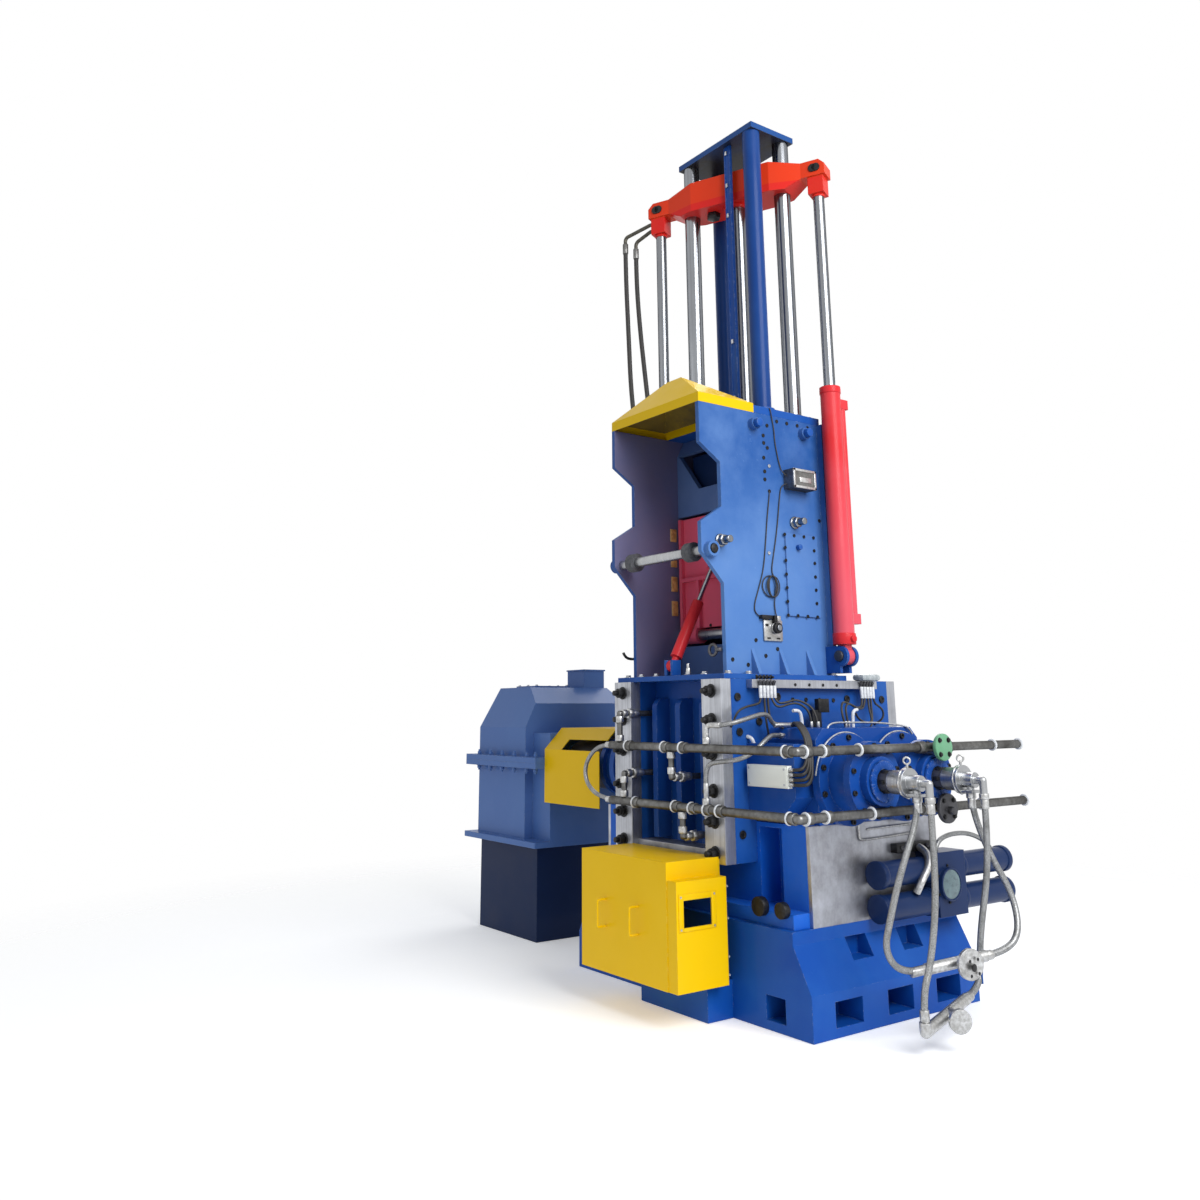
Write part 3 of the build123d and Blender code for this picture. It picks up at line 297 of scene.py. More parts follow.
def mixed(tree, factor, first, second):
    node = tree.nodes.new("ShaderNodeMix")
    node.data_type = "RGBA"
    feed(tree, node, {"Factor": factor, 6: first, 7: second})
    return node.outputs[2]


def bump(tree, height, strength, distance, **normal):
    node = tree.nodes.new("ShaderNodeBump")
    feed(tree, node, {"Height": height, "Strength": strength, "Distance": distance, **normal})
    return node.outputs["Normal"]


def new_group(name, inputs, outputs):
    group = bpy.data.node_groups.new(name, "ShaderNodeTree")
    for label, kind, value in inputs:
        socket = group.interface.new_socket(name=label, in_out="INPUT", socket_type=kind)
        socket.default_value = value
    for label, kind in outputs:
        group.interface.new_socket(name=label, in_out="OUTPUT", socket_type=kind)
    return group, group.nodes.new("NodeGroupInput").outputs, group.nodes.new("NodeGroupOutput")


def shop_marks_group():
    """Cloudy dust, small scuffs and the peel of sprayed paint."""
    group, given, result = new_group(
        "shop marks",
        [("Place", "NodeSocketVector", (0, 0, 0))],
        [("Dust", "NodeSocketFloat"), ("Scuffs", "NodeSocketFloat"), ("Peel", "NodeSocketFloat")])
    place = given["Place"]
    fine = span(group, noise(group, place, 46, 4, 0.7), 0.62, 0.70)
    patch = span(group, noise(group, place, 6, 2), 0.5, 0.62)
    feed(group, result, {"Dust": span(group, noise(group, place, 2.2, 5, 0.62), 0.42, 0.72),
                         "Scuffs": times(group, fine, patch),
                         "Peel": noise(group, place, 160, 2, 0.5)})
    return group


def edge_rub_group():
    """Where an edge is rubbed, and the normal of the slightly rounded edge."""
    group, given, result = new_group(
        "edge rub",
        [("Place", "NodeSocketVector", (0, 0, 0)), ("Reach", "NodeSocketFloat", 0.006)],
        [("Rub", "NodeSocketFloat"), ("Round", "NodeSocketVector")])
    rounding = group.nodes.new("ShaderNodeBevel")
    rounding.samples = 4
    feed(group, rounding, {"Radius": given["Reach"]})
    rounded = rounding.outputs["Normal"]
    facing = vectors(group, "DOT_PRODUCT", rounded, face_normal(group))["Value"]
    broken = span(group, noise(group, given["Place"], 34, 3, 0.7), 0.5, 0.62)
    feed(group, result, {"Rub": times(group, span(group, facing, 0.985, 0.88), broken), "Round": rounded})
    return group


def brush_group():
    """Drawn lines of a milled or ground face with cloudy stains; on chrome the lines are painted reflection
    streaks.
    """
    group, given, result = new_group(
        "brush lines",
        [("Place", "NodeSocketVector", (0, 0, 0)), ("Stretch", "NodeSocketVector", (3, 3, 220))],
        [("Lines", "NodeSocketFloat"), ("Stain", "NodeSocketFloat")])
    stretched = vectors(group, "MULTIPLY", given["Place"], given["Stretch"])["Vector"]
    clouds = noise(group, given["Place"], 4.5, 5, 0.65)
    feed(group, result, {"Lines": noise(group, stretched, 1, 4, 0.65),
                         "Stain": span(group, clouds, 0.38, 0.68)})
    return group


shop_marks = shop_marks_group()
edge_rub = edge_rub_group()
brush_lines = brush_group()


def start_finish(name):
    finish = bpy.data.materials.new(name)
    finish.use_nodes = True
    tree = finish.node_tree
    place = tree.nodes.new("ShaderNodeTexCoord").outputs["Object"]
    return finish, tree, tree.nodes["Principled BSDF"], place


def use_group(tree, group, **inputs):
    node = tree.nodes.new("ShaderNodeGroup")
    node.node_tree = group
    feed(tree, node, inputs)
    return node.outputs


def paint(name, colour, dusty, bare, roughness=0.34, below=None, toward=None):
    """Sprayed enamel, dusty and rubbed bare at the edges.

    below holds a height, the colour under it and the length of the fade;
    toward holds an axis, a side of it and the colour of the faces that look there.
    """
    finish, tree, shader, place = start_finish(name)
    marks = use_group(tree, shop_marks, Place=place)
    rub = use_group(tree, edge_rub, Place=place)
    ground = colour
    # below: a colour under a height; painted shade under the tower top plate, painted glare low on the water
    # cheek and lift cylinders, and the real red of the crosshead's rod-end blocks
    if below:
        height, low_colour, fade = below
        under = span(tree, axis_part(tree, place, "Z"), height, height - fade)
        ground = mixed(tree, under, colour, low_colour)
    # toward: faces that look one way take another colour; painted shade on the hood's downward faces, painted
    # light on the drive cheek's faces toward +X
    if toward:
        axis, side, side_colour = toward
        facing = axis_part(tree, face_normal(tree), axis)
        ground = mixed(tree, span(tree, facing, 0.05 * side, 0.2 * side), ground, side_colour)
    clouded = mixed(tree, times(tree, marks["Dust"], 0.45), ground, dusty)
    scuffed = mixed(tree, times(tree, marks["Scuffs"], 0.35), clouded, dusty)
    feed(tree, shader, {
        "Base Color": mixed(tree, times(tree, rub["Rub"], 0.55), scuffed, bare),
        "Roughness": span(tree, marks["Dust"], 0, 1, roughness, roughness + 0.16),
        "Normal": bump(tree, marks["Peel"], 0.10, 0.0012, Normal=rub["Round"]),
        "Specular IOR Level": 0.12, "Coat Weight": 0.08, "Coat Roughness": 0.10})
    return finish


def metal(name, colour, stain_and_streak_tone, stretch, roughness, rough_span, depth, stains, streaks=0.0, rim=1.0):
    """Drawn or ground metal; stretch sets the run of its lines, rim how bright it gets at a flat glance. On
    chrome the dark lines are painted reflection streaks.
    """
    finish, tree, shader, place = start_finish(name)
    brushed = use_group(tree, brush_lines, Place=place, Stretch=stretch)
    rub = use_group(tree, edge_rub, Place=place)
    clouded = mixed(tree, times(tree, brushed["Stain"], stains), colour, stain_and_streak_tone)
    grain_and_reflection_streaks = times(tree, span(tree, brushed["Lines"], 0.38, 0.62), streaks)
    feed(tree, shader, {
        "Base Color": mixed(tree, grain_and_reflection_streaks, clouded, stain_and_streak_tone),
        "Roughness": span(tree, brushed["Lines"], 0.3, 0.7, roughness, roughness + rough_span),
        "Normal": bump(tree, brushed["Lines"], depth, 0.0008, Normal=rub["Round"]),
        "Metallic": 1, "Specular Tint": (rim, rim, rim, 1)})
    return finish


def plain_finish(name, colour, other, scale, roughness, metallic=0.0):
    finish, tree, shader, place = start_finish(name)
    grain = noise(tree, place, scale, 4, 0.65)
    feed(tree, shader, {
        "Base Color": mixed(tree, span(tree, grain, 0.4, 0.65), colour, other),
        "Roughness": span(tree, grain, 0.3, 0.7, roughness, roughness + 0.12),
        "Normal": bump(tree, grain, 0.25, 0.0006),
        "Metallic": metallic})
    return finish


def braided_finish(name, light, dark, rough):
    finish, tree, shader, place = start_finish(name)
    weave = noise(tree, place, 420, 2, 0.5)
    soil = noise(tree, place, 16, 4, 0.6)
    woven = mixed(tree, span(tree, weave, 0.42, 0.58), dark, light)
    feed(tree, shader, {
        "Base Color": mixed(tree, span(tree, soil, 0.48, 0.66, 0, 0.55), woven, dark),
        "Roughness": span(tree, soil, 0.3, 0.7, rough, rough + 0.15),
        "Normal": bump(tree, weave, 0.3, 0.0006),
        "Metallic": 0.7, "Specular Tint": (0.4, 0.4, 0.4, 1)})
    return finish


pale_edge = tone(150, 165, 190)
blue = paint("royal blue enamel", tone(26, 78, 156), tone(58, 104, 172), pale_edge)
base_blue = paint("base blue enamel", tone(12, 72, 158), tone(38, 96, 172), pale_edge)
# The bed's blue is brightened to make up for the shade on its -Y face: painted light.
bed_blue = paint("bed blue enamel", tone(22, 92, 196), tone(56, 112, 196), pale_edge)
post_blue = paint("post blue enamel", tone(18, 58, 122), tone(38, 76, 138), pale_edge)
# The water cheek's blue turns paler below 3.1 m and stays darker at the top: painted glare.
glare_painted_blue = paint("blue enamel with painted glare", tone(40, 84, 150), tone(104, 140, 192), pale_edge,
                  below=(3.1, tone(80, 122, 184), 0.7))
# The drive cheek's faces that look toward +X, the key lamp's side, are painted paler: painted light. Its
# mottling is dust.
dusty_blue_painted_lit_side = paint("dusty blue enamel with painted light", tone(34, 80, 150), tone(92, 104, 150), pale_edge, 0.42,
                   toward=("X", 1, tone(118, 114, 146)))
# The hopper's inner walls take a paler blue than their paint: painted glare.
inner_blue = paint("inner blue enamel", tone(84, 110, 160), tone(112, 132, 174), pale_edge, 0.45)
deep_blue = paint("deep blue enamel", tone(20, 68, 146), tone(50, 94, 162), pale_edge)
gear_blue = paint("reducer blue enamel", tone(78, 112, 172), tone(98, 128, 180), pale_edge)
# The gearbox plinth is painted near-black blue for the shadow under the gearbox: painted shade.
plinth_shade_blue = paint("plinth blue darkened as painted shade", tone(12, 32, 68), tone(22, 42, 78), tone(70, 84, 110), 0.5)
# Below 5.502 m, on the top plate's underside, the paint turns near black: painted shade under the plate.
top_blue = paint("top plate enamel", tone(22, 68, 130), tone(52, 92, 150), pale_edge,
                 below=(5.502, tone(32, 30, 30), 0.001))
navy = paint("navy enamel", tone(22, 42, 82), tone(38, 58, 96), tone(90, 104, 128))
yellow = paint("guard yellow enamel", tone(238, 192, 0), tone(230, 184, 0), tone(250, 222, 100))
# The dust hood's faces that look down are painted dark olive: painted shade inside the hood.
hood_yellow = paint("hood yellow enamel", tone(228, 186, 0), tone(222, 182, 10), tone(246, 214, 90),
                    toward=("Z", -1, tone(90, 80, 54)))
orange = paint("crosshead orange enamel", tone(218, 58, 26), tone(208, 64, 38), tone(240, 130, 100),
               below=(5.16, tone(214, 38, 34), 0.001))
red = paint("cylinder red enamel", tone(208, 40, 46), tone(214, 70, 78), tone(232, 120, 120))
# The lift cylinders turn pink below 3.3 m: painted glare on their lower part.
lift_red = paint("lift red enamel", tone(206, 44, 48), tone(218, 92, 102), tone(232, 120, 120),
                 below=(3.3, tone(216, 84, 98), 1.0))
# The feed door's red is brightened to make up for the shade it stands in, and paled as painted glare: painted
# light.
door_red = paint("door red enamel", tone(236, 92, 116), tone(214, 100, 120), tone(230, 150, 140), 0.4)
cream = paint("box cream enamel", tone(238, 240, 232), tone(222, 224, 216), tone(232, 232, 226), 0.42)
green = paint("flange green enamel", tone(104, 160, 122), tone(130, 172, 146), tone(150, 190, 160))
# The chrome's dark vertical streaks, from lines stretched along Z, are painted reflections of the
# surroundings.
chrome = metal("hard chrome", tone(152, 155, 160), tone(78, 80, 84), (24, 24, 0.15),
               roughness=0.16, rough_span=0.08, depth=0.02, stains=0.15, streaks=0.4, rim=0.3)
ground_bar = metal("ground steel bar", tone(192, 195, 202), tone(124, 125, 130), (90, 90, 2),
                   roughness=0.32, rough_span=0.2, depth=0.1, stains=0.45, streaks=0.35)
milled = metal("milled steel face", tone(188, 191, 200), tone(112, 111, 114), (7, 7, 2),
               roughness=0.34, rough_span=0.22, depth=0.03, stains=0.8, streaks=0.25)
dull_steel = metal("dull dark steel", tone(96, 96, 100), tone(58, 58, 60), (12, 12, 12),
                   roughness=0.42, rough_span=0.2, depth=0.1, stains=0.6)
pipe_zinc = metal("galvanised pipe", tone(132, 132, 131), tone(62, 60, 57), (30, 30, 30),
                  roughness=0.34, rough_span=0.2, depth=0.1, stains=0.75, streaks=0.4, rim=0.4)
fitting_zinc = metal("galvanised fitting", tone(206, 207, 208), tone(120, 118, 112), (60, 60, 60),
                     roughness=0.3, rough_span=0.2, depth=0.2, stains=0.4, streaks=0.5)
joint_steel = metal("turned steel", tone(186, 188, 190), tone(118, 118, 120), (140, 3, 3),
                    roughness=0.24, rough_span=0.16, depth=0.08, stains=0.4, streaks=0.3)
black_oxide = plain_finish("black oxide fastener", tone(22, 22, 24), tone(40, 40, 42), 90, 0.38, 0.5)
zinc = plain_finish("zinc plated fastener", tone(196, 198, 202), tone(150, 152, 156), 60, 0.3, 1.0)
rubber = plain_finish("black rubber", tone(24, 24, 26), tone(50, 46, 42), 70, 0.5)
grey_rubber = plain_finish("grey roller rubber", tone(82, 82, 86), tone(60, 62, 66), 40, 0.6)
# The brass wear blocks are brightened to make up for the shade inside the hopper: painted light.
brass = plain_finish("brass wear block", tone(236, 190, 118), tone(190, 146, 84), 30, 0.4)
dark_pipe = plain_finish("dark oiled pipe", tone(62, 60, 54), tone(92, 89, 78), 50, 0.35, 0.5)
white_plastic = plain_finish("white plastic", tone(228, 230, 232), tone(200, 202, 206), 60, 0.35)
dark_inside = plain_finish("dark casting", tone(34, 36, 42), tone(54, 56, 60), 20, 0.6, 0.2)
dial_grey = plain_finish("dial cover", tone(104, 126, 130), tone(76, 94, 100), 34, 0.22)
clear_cover = plain_finish("clear cover", tone(150, 158, 160), tone(196, 200, 202), 26, 0.2)
braid = braided_finish("braided water hose", tone(176, 178, 180), tone(104, 104, 102), 0.3)

# The slot that each finish stands for, and the finish of each CAD node

slot_finishes = {
    "blue_paint": (blue, deep_blue, gear_blue, green),
    "navy_paint": (navy,),
    "yellow_paint": (yellow,),
    "orange_paint": (orange,),
    "red_paint": (red,),
    "cream_paint": (cream, white_plastic),
    "chrome": (chrome,),
    "bare_steel": (ground_bar, zinc, fitting_zinc, brass, dial_grey, clear_cover),
    "dark_steel": (dull_steel, black_oxide),
    "galvanised": (pipe_zinc,),
    "rubber": (rubber,),
    "braided_hose": (braid,),
}
own_finish = {
    "bed_faces": milled, "rotary_joints": joint_steel, "feed_door": door_red, "dust_hood": hood_yellow,
    "cross_shaft_rollers": grey_rubber, "drop_door": dark_inside, "sill_plates": milled,
    "tower_top_plate": top_blue, "hopper_cheek_water": glare_painted_blue, "hopper_cheek_drive": dusty_blue_painted_lit_side,
    "hopper_front_panels": inner_blue, "hopper_back_wall": inner_blue, "bearing_housings": deep_blue,
    "bearing_blocks": deep_blue, "bed_block": bed_blue, "base_frame": base_blue,
    "latch_pedestal": base_blue, "box_bracket": deep_blue, "chamber_wall_front": deep_blue,
    "chamber_wall_rear": deep_blue, "gearbox_lower_case": gear_blue, "gearbox_upper_case": gear_blue,
    "gearbox_pedestal": plinth_shade_blue, "sensor_box": pipe_zinc, "tower_posts": post_blue,
    "lift_cylinders": lift_red, "ram_hose_pipes": dark_pipe, "cross_shaft": joint_steel,
    "feed_door_shaft": joint_steel, "sensor_rail": deep_blue, "water_manifolds": fitting_zinc,
}
for subpart in frame["record"]["subparts"]:
    name = subpart["node"]
    node = nodes[name]
    node.data.materials.clear()
    node.data.materials.append(own_finish.get(name, slot_finishes[subpart["material_slot"]][0]))


# Camera, light and floor

PHOTO_SIDE = 1200
FOCAL_PIXELS = 1047.825
LENS_AXIS_ROW = 459.904
FILM_SIDE = 36
EYE = (5.036, -4.816, 1.6)
EYE_TURN, EYE_PITCH, EYE_ROLL = radians(54.436), radians(13.478), radians(-0.299)


def set_camera():
    turn, pitch, roll = EYE_TURN, EYE_PITCH, EYE_ROLL
    forward = Vector((-sin(turn) * cos(pitch), cos(turn) * cos(pitch), sin(pitch)))
    right = Vector((cos(turn), sin(turn), 0))
    upward = right.cross(forward)
    right_rolled = right * cos(roll) + upward * sin(roll)
    up_rolled = upward * cos(roll) - right * sin(roll)
    data = bpy.data.cameras.new("camera")
    camera = bpy.data.objects.new("camera", data)
    scene.collection.objects.link(camera)
    columns = Matrix((right_rolled, up_rolled, -forward)).transposed().to_4x4()
    camera.matrix_world = Matrix.Translation(EYE) @ columns
    data.sensor_width = FILM_SIDE
    data.lens = FILM_SIDE * FOCAL_PIXELS / PHOTO_SIDE
    data.shift_y = -(PHOTO_SIDE / 2 - LENS_AXIS_ROW) / PHOTO_SIDE
    data.clip_end = 200
    scene.camera = camera


def add_lamp(name, place, target, size, power):
    data = bpy.data.lights.new(name, "AREA")
    data.shape = "RECTANGLE"
    data.size, data.size_y = size
    data.energy = power
    lamp = bpy.data.objects.new(name, data)
    scene.collection.objects.link(lamp)
    aim = Vector(target) - Vector(place)
    lamp.matrix_world = Matrix.LocRotScale(Vector(place), aim.to_track_quat("-Z", "Y"), None)


def set_world():
    """White to the eye and in reflections, and a softer sky as light."""
    world = bpy.data.worlds.new("studio")
    scene.world = world
    world.use_nodes = True
    tree = world.node_tree
    tree.nodes.clear()
    light = tree.nodes.new("ShaderNodeBackground")
    feed(tree, light, {"Color": (0.86, 0.92, 1.0, 1), "Strength": 0.42})
    white = tree.nodes.new("ShaderNodeBackground")
    feed(tree, white, {"Color": (1, 1, 1, 1)})
    rays = tree.nodes.new("ShaderNodeLightPath").outputs
    seen = larger(tree, rays["Is Camera Ray"], rays["Is Glossy Ray"])
    blend = tree.nodes.new("ShaderNodeMixShader")
    feed(tree, blend, {"Fac": larger(tree, seen, rays["Is Transmission Ray"]),
                       1: light.outputs[0], 2: white.outputs[0]})
    feed(tree, tree.nodes.new("ShaderNodeOutputWorld"), {"Surface": blend.outputs[0]})


def set_floor():
    """A pale floor that fades into the white room away from the machine."""
    bpy.ops.object.select_all(action="DESELECT")
    bpy.ops.mesh.primitive_plane_add(size=30, location=(0, 0, -0.002))
    floor = set_place(bpy.context.object)
    floor.name = "floor"
    finish, tree, shader, place = start_finish("pale floor")
    feed(tree, shader, {"Base Color": (0.9, 0.9, 0.9, 1), "Roughness": 0.85,
                        "Emission Color": (1, 1, 1, 1), "Emission Strength": 0.3})
    away = vectors(tree, "LENGTH", place)["Value"]
    room = tree.nodes.new("ShaderNodeBsdfTransparent")
    blend = tree.nodes.new("ShaderNodeMixShader")
    feed(tree, blend, {"Fac": span(tree, away, 2.6, 6.5), 1: shader.outputs[0], 2: room.outputs[0]})
    feed(tree, tree.nodes["Material Output"], {"Surface": blend.outputs[0]})
    floor.data.materials.append(finish)


set_camera()
set_world()
set_floor()
add_lamp("key", (7.0, -0.8, 6.0), (0, 0, 2.4), (5, 5), 680)
add_lamp("fill", (-1.5, -8.0, 4.5), (0, 0, 2.2), (6, 4), 45)
add_lamp("rim", (-4, 5, 6.5), (0, 0, 2.6), (4, 4), 160)


# Hoses

HOSE_RADIUS, LINK_RADIUS, CABLE_RADIUS = 0.017, 0.013, 0.0035


def hung_cord(name, points, radius, finish, stands_for=None):
    piece = line_through(points, name)
    thicken(piece, radius, 5)
    piece.data.materials.append(finish)
    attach(piece, "frame")
    if stands_for:
        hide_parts(stands_for)


def water_hose(name, points):
    hung_cord(name + "_line", points, HOSE_RADIUS, braid, stands_for=name)


def link_hose(name, points):
    hung_cord(name, points, LINK_RADIUS, braid)


def sensor_cable(name, points):
    hung_cord(name, points, CABLE_RADIUS, rubber)


def ram_hose(name, points):
    """A hose that hangs from the ram's pipes to the frame; path is its centre line."""
    route = line_through(points, name + "_route")
    followed = bpy.data.meshes.new_from_object(route.evaluated_get(bpy.context.evaluated_depsgraph_get()))
    drop(route)
    piece = tube(points, HOSE_RADIUS, roundness=4)
    piece.name = name + "_line"
    piece.data.materials.clear()
    piece.data.materials.append(rubber)
    bpy.ops.object.shade_smooth()
    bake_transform(piece)
    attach(piece, "frame")
    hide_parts(name)


water_hose("water_hose_front_outlet", [
    (1.3953, -0.225, 1.154), (1.3953, -0.225, 1.075), (1.3703, -0.368, 0.8), (1.3273, -0.412, 0.59),
    (1.3034, -0.4441, 0.4387), (1.3274, -0.3491, 0.3287), (1.3653, -0.215, 0.342)])
water_hose("water_hose_rear_outlet", [
    (1.3953, 0.225, 1.154), (1.3953, 0.225, 1.075), (1.4003, 0.33, 0.85), (1.4553, 0.425, 0.65),
    (1.5132, 0.3781, 0.4753), (1.5032, 0.2731, 0.3903), (1.4653, 0.139, 0.377)])
water_hose("water_hose_front_elbow", [
    (1.4753, -0.225, 1.154), (1.4753, -0.225, 0.896), (1.4753, -0.245, 0.636), (1.4723, -0.31, 0.396),
    (1.4718, -0.3825, 0.2707), (1.4718, -0.3825, 0.1507)])
water_hose("water_hose_rear_elbow", [
    (1.4753, 0.225, 1.154), (1.4753, 0.225, 0.976), (1.4403, 0.24, 0.736), (1.3953, 0.215, 0.496),
    (1.38, 0.2042, 0.3361), (1.409, 0.1422, 0.2161), (1.4253, 0.006, 0.188)])
ram_hose("ram_hose_outer", [
    (-0.8337, -0.3708, 5.036), (-0.8337, -0.3708, 4.786), (-0.8087, -0.3708, 4.316),
    (-0.7757, -0.3788, 3.846), (-0.632, -0.44, 3.45), (-0.482, -0.47, 3.13), (-0.482, -0.47, 2.95)])
ram_hose("ram_hose_inner", [
    (-0.7514, -0.3342, 4.975), (-0.7514, -0.3342, 4.725), (-0.7154, -0.3372, 4.355),
    (-0.6474, -0.3462, 3.935), (-0.572, -0.363, 3.56), (-0.482, -0.385, 3.2), (-0.482, -0.385, 3.0)])


# Fasteners, each modelled once and copied

def chosen_faces(piece, wanted):
    bpy.context.tool_settings.mesh_select_mode = (False, False, True)
    pick(piece)
    bpy.ops.object.mode_set(mode="EDIT")
    bpy.ops.mesh.select_all(action="DESELECT")
    bpy.ops.object.mode_set(mode="OBJECT")
    for face in piece.data.polygons:
        face.select = wanted(face)
    bpy.ops.object.mode_set(mode="EDIT")


def socket_screw(radius, height):
    bpy.ops.mesh.primitive_cylinder_add(vertices=18, radius=radius, depth=height, location=(0, 0, height / 2))
    screw = set_place(bpy.context.object)
    chosen_faces(screw, lambda face: face.normal.z > 0.9)
    bpy.ops.mesh.inset(thickness=radius * 0.42)
    bpy.ops.mesh.extrude_region_move(TRANSFORM_OT_translate={"value": (0, 0, -height * 0.6)})
    bpy.ops.object.mode_set(mode="OBJECT")
    return soften(screw, radius * 0.08, 1)


def hex_bolt(radius):
    head = turned((0, 0, radius * 0.22), (0, 0, radius * 0.95), radius, radius * 0.09, 6)
    washer = turned((0, 0, 0), (0, 0, radius * 0.22), radius * 1.35, radius * 0.06, 20)
    return joined([head, washer])


def stud_and_nut(radius):
    nut = turned((0, 0, radius * 0.2), (0, 0, radius * 1.5), radius, radius * 0.1, 6)
    washer = turned((0, 0, 0), (0, 0, radius * 0.2), radius * 1.3, radius * 0.05, 20)
    stud = turned((0, 0, radius * 1.4), (0, 0, radius * 2.4), radius * 0.55, radius * 0.08, 14)
    return joined([nut, washer, stud])


def fasten(name, pattern, rows, finish, body="frame"):
    """Copies of a fastener joined into one piece; a row holds the places and the way they point."""
    made = []
    for places, axis in rows:
        made += copies(pattern, places, axis)
    drop(pattern)
    finish_piece(set_place(joined(made)), name, finish, body)


def round_about(middle, radius, count, first=0.0):
    """Places on a circle round a line along X."""
    x, y, z = middle
    angles = [first + 2 * pi * i / count for i in range(count)]
    return [(x, y + radius * cos(angle), z + radius * sin(angle)) for angle in angles]


def on_x(x, spots):
    return [(x, y, z) for y, z in spots]


def both_ends(x, spots):
    return [(on_x(x, spots), (1, 0, 0)), (on_x(-x, spots), (-1, 0, 0))]


# Faces and middles that the details stand on, from the frame where a joint or a node's box gives them

joint_places = {joint["name"]: joint.get("pos_m") for joint in frame["record"]["behaviour"]["joints"]}
ROTOR_Y, ROTOR_Z = joint_places["rotor_rear_turn"][1:]
HINGE_Y, HINGE_Z = joint_places["feed_door_open"][1:]
BAR_FACE_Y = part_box("tie_bars")[1].y
FRAME_FACE_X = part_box("end_frames")[1].x
BED_FACE_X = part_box("bed_faces")[1].x
FOOT_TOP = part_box("hopper_foot")[1].z
TOWER_BASE_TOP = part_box("tower_base")[1].z
HOUSING_END_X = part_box("bearing_housings")[1].x
FLANGE_FACE_X, RING_FACE_X = HOUSING_END_X - 0.224, HOUSING_END_X - 0.049
CHEEK_THICKNESS = 0.030
CHEEK_FACE_X = round(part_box("hopper_cheek_water")[0].x + CHEEK_THICKNESS, 6)
PLATE_FACE_X = CHEEK_FACE_X + 0.012
HEADER_X, HEADER_Y, SUPPLY_Z, RETURN_Z = 1.170, -0.850, 1.395, 1.072
TEE_FACE_X, TEE_Y = 1.240, 0.236
POSTS = ((0.317, -0.141), (-0.317, 0.141))
COLUMNS = ((0.317, 0.141), (-0.317, -0.141))
LIFTS = ((0.555, 0.247), (-0.555, -0.247))
LIFT_REACH = 0.607
OUTER_HOSE = (-0.8337, -0.3708)
INNER_HOSE = (-0.7514, -0.3342)


def chamber_fasteners():
    heights = (1.709, 1.548, 1.364, 1.163, 1.001, 0.834)
    rows = [([(x, side * BAR_FACE_Y, z) for x in (-0.421, 0.421) for z in heights], (0, side, 0))
            for side in (-1, 1)]
    fasten("tie_bar_nuts", stud_and_nut(0.030), rows, black_oxide)
    large = [(-0.625, 1.675), (-0.306, 1.676), (0.29, 1.665), (0.613, 1.662), (-0.618, 1.481),
             (-0.463, 1.537), (0.60, 1.45), (-0.62, 0.93), (0.62, 0.93)]
    fasten("frame_face_screws", socket_screw(0.023, 0.010), both_ends(FRAME_FACE_X, large), black_oxide)
    small = [(-0.181, 1.66), (-0.069, 1.66), (0.046, 1.658), (0.169, 1.657)]
    fasten("frame_small_screws", socket_screw(0.013, 0.006), both_ends(FRAME_FACE_X, small), black_oxide)


def housing_fasteners():
    wide, narrow, arcs, seals = [], [], [], []
    arc_radius, arc_angles = 0.251, [radians(degrees) for degrees in range(12, 175, 18)]
    for side in (-1, 1):
        middle = (0, side * ROTOR_Y, ROTOR_Z)
        wide += [(y, z) for x, y, z in round_about(middle, 0.222, 10, pi / 10) if side * y > 0.06]
        narrow += [(y, z) for x, y, z in round_about(middle, 0.182, 10, pi / 10) if side * y > 0.04]
        arcs.append([(FLANGE_FACE_X - 0.02, side * ROTOR_Y + arc_radius * cos(angle),
                      ROTOR_Z + arc_radius * sin(angle)) for angle in arc_angles])
    fasten("housing_flange_screws", socket_screw(0.016, 0.014), both_ends(FLANGE_FACE_X, wide), black_oxide)
    fasten("housing_ring_screws", socket_screw(0.014, 0.014), both_ends(RING_FACE_X, narrow), black_oxide)
    over = [(0.89, -0.312, 1.497), (0.89, -0.31, 1.53), (0.89, -0.12, 1.53), (0.89, 0.137, 1.526),
            (0.90, 0.30, 1.51), (0.92, 0.34, 1.50), (0.93, 0.36, 1.46)]
    lines("thin_steel_lines", arcs + [over], 0.0055, zinc)
    for side, rotor in ((-1, "rotor_front"), (1, "rotor_rear")):
        middle = (HOUSING_END_X + 0.0085, side * ROTOR_Y, ROTOR_Z)
        seals.append(collar(middle, (1, 0, 0), 0.0615, 0.108, 0.014))
        slots = [bar_x(1.204, 1.238, y, z, 0.013, 12) for x, y, z in round_about(middle, 0.053, 6)]
        rods(rotor + "_nut_slots", slots, black_oxide, rotor)
    finish_piece(joined(seals), "shaft_seal_covers", deep_blue)


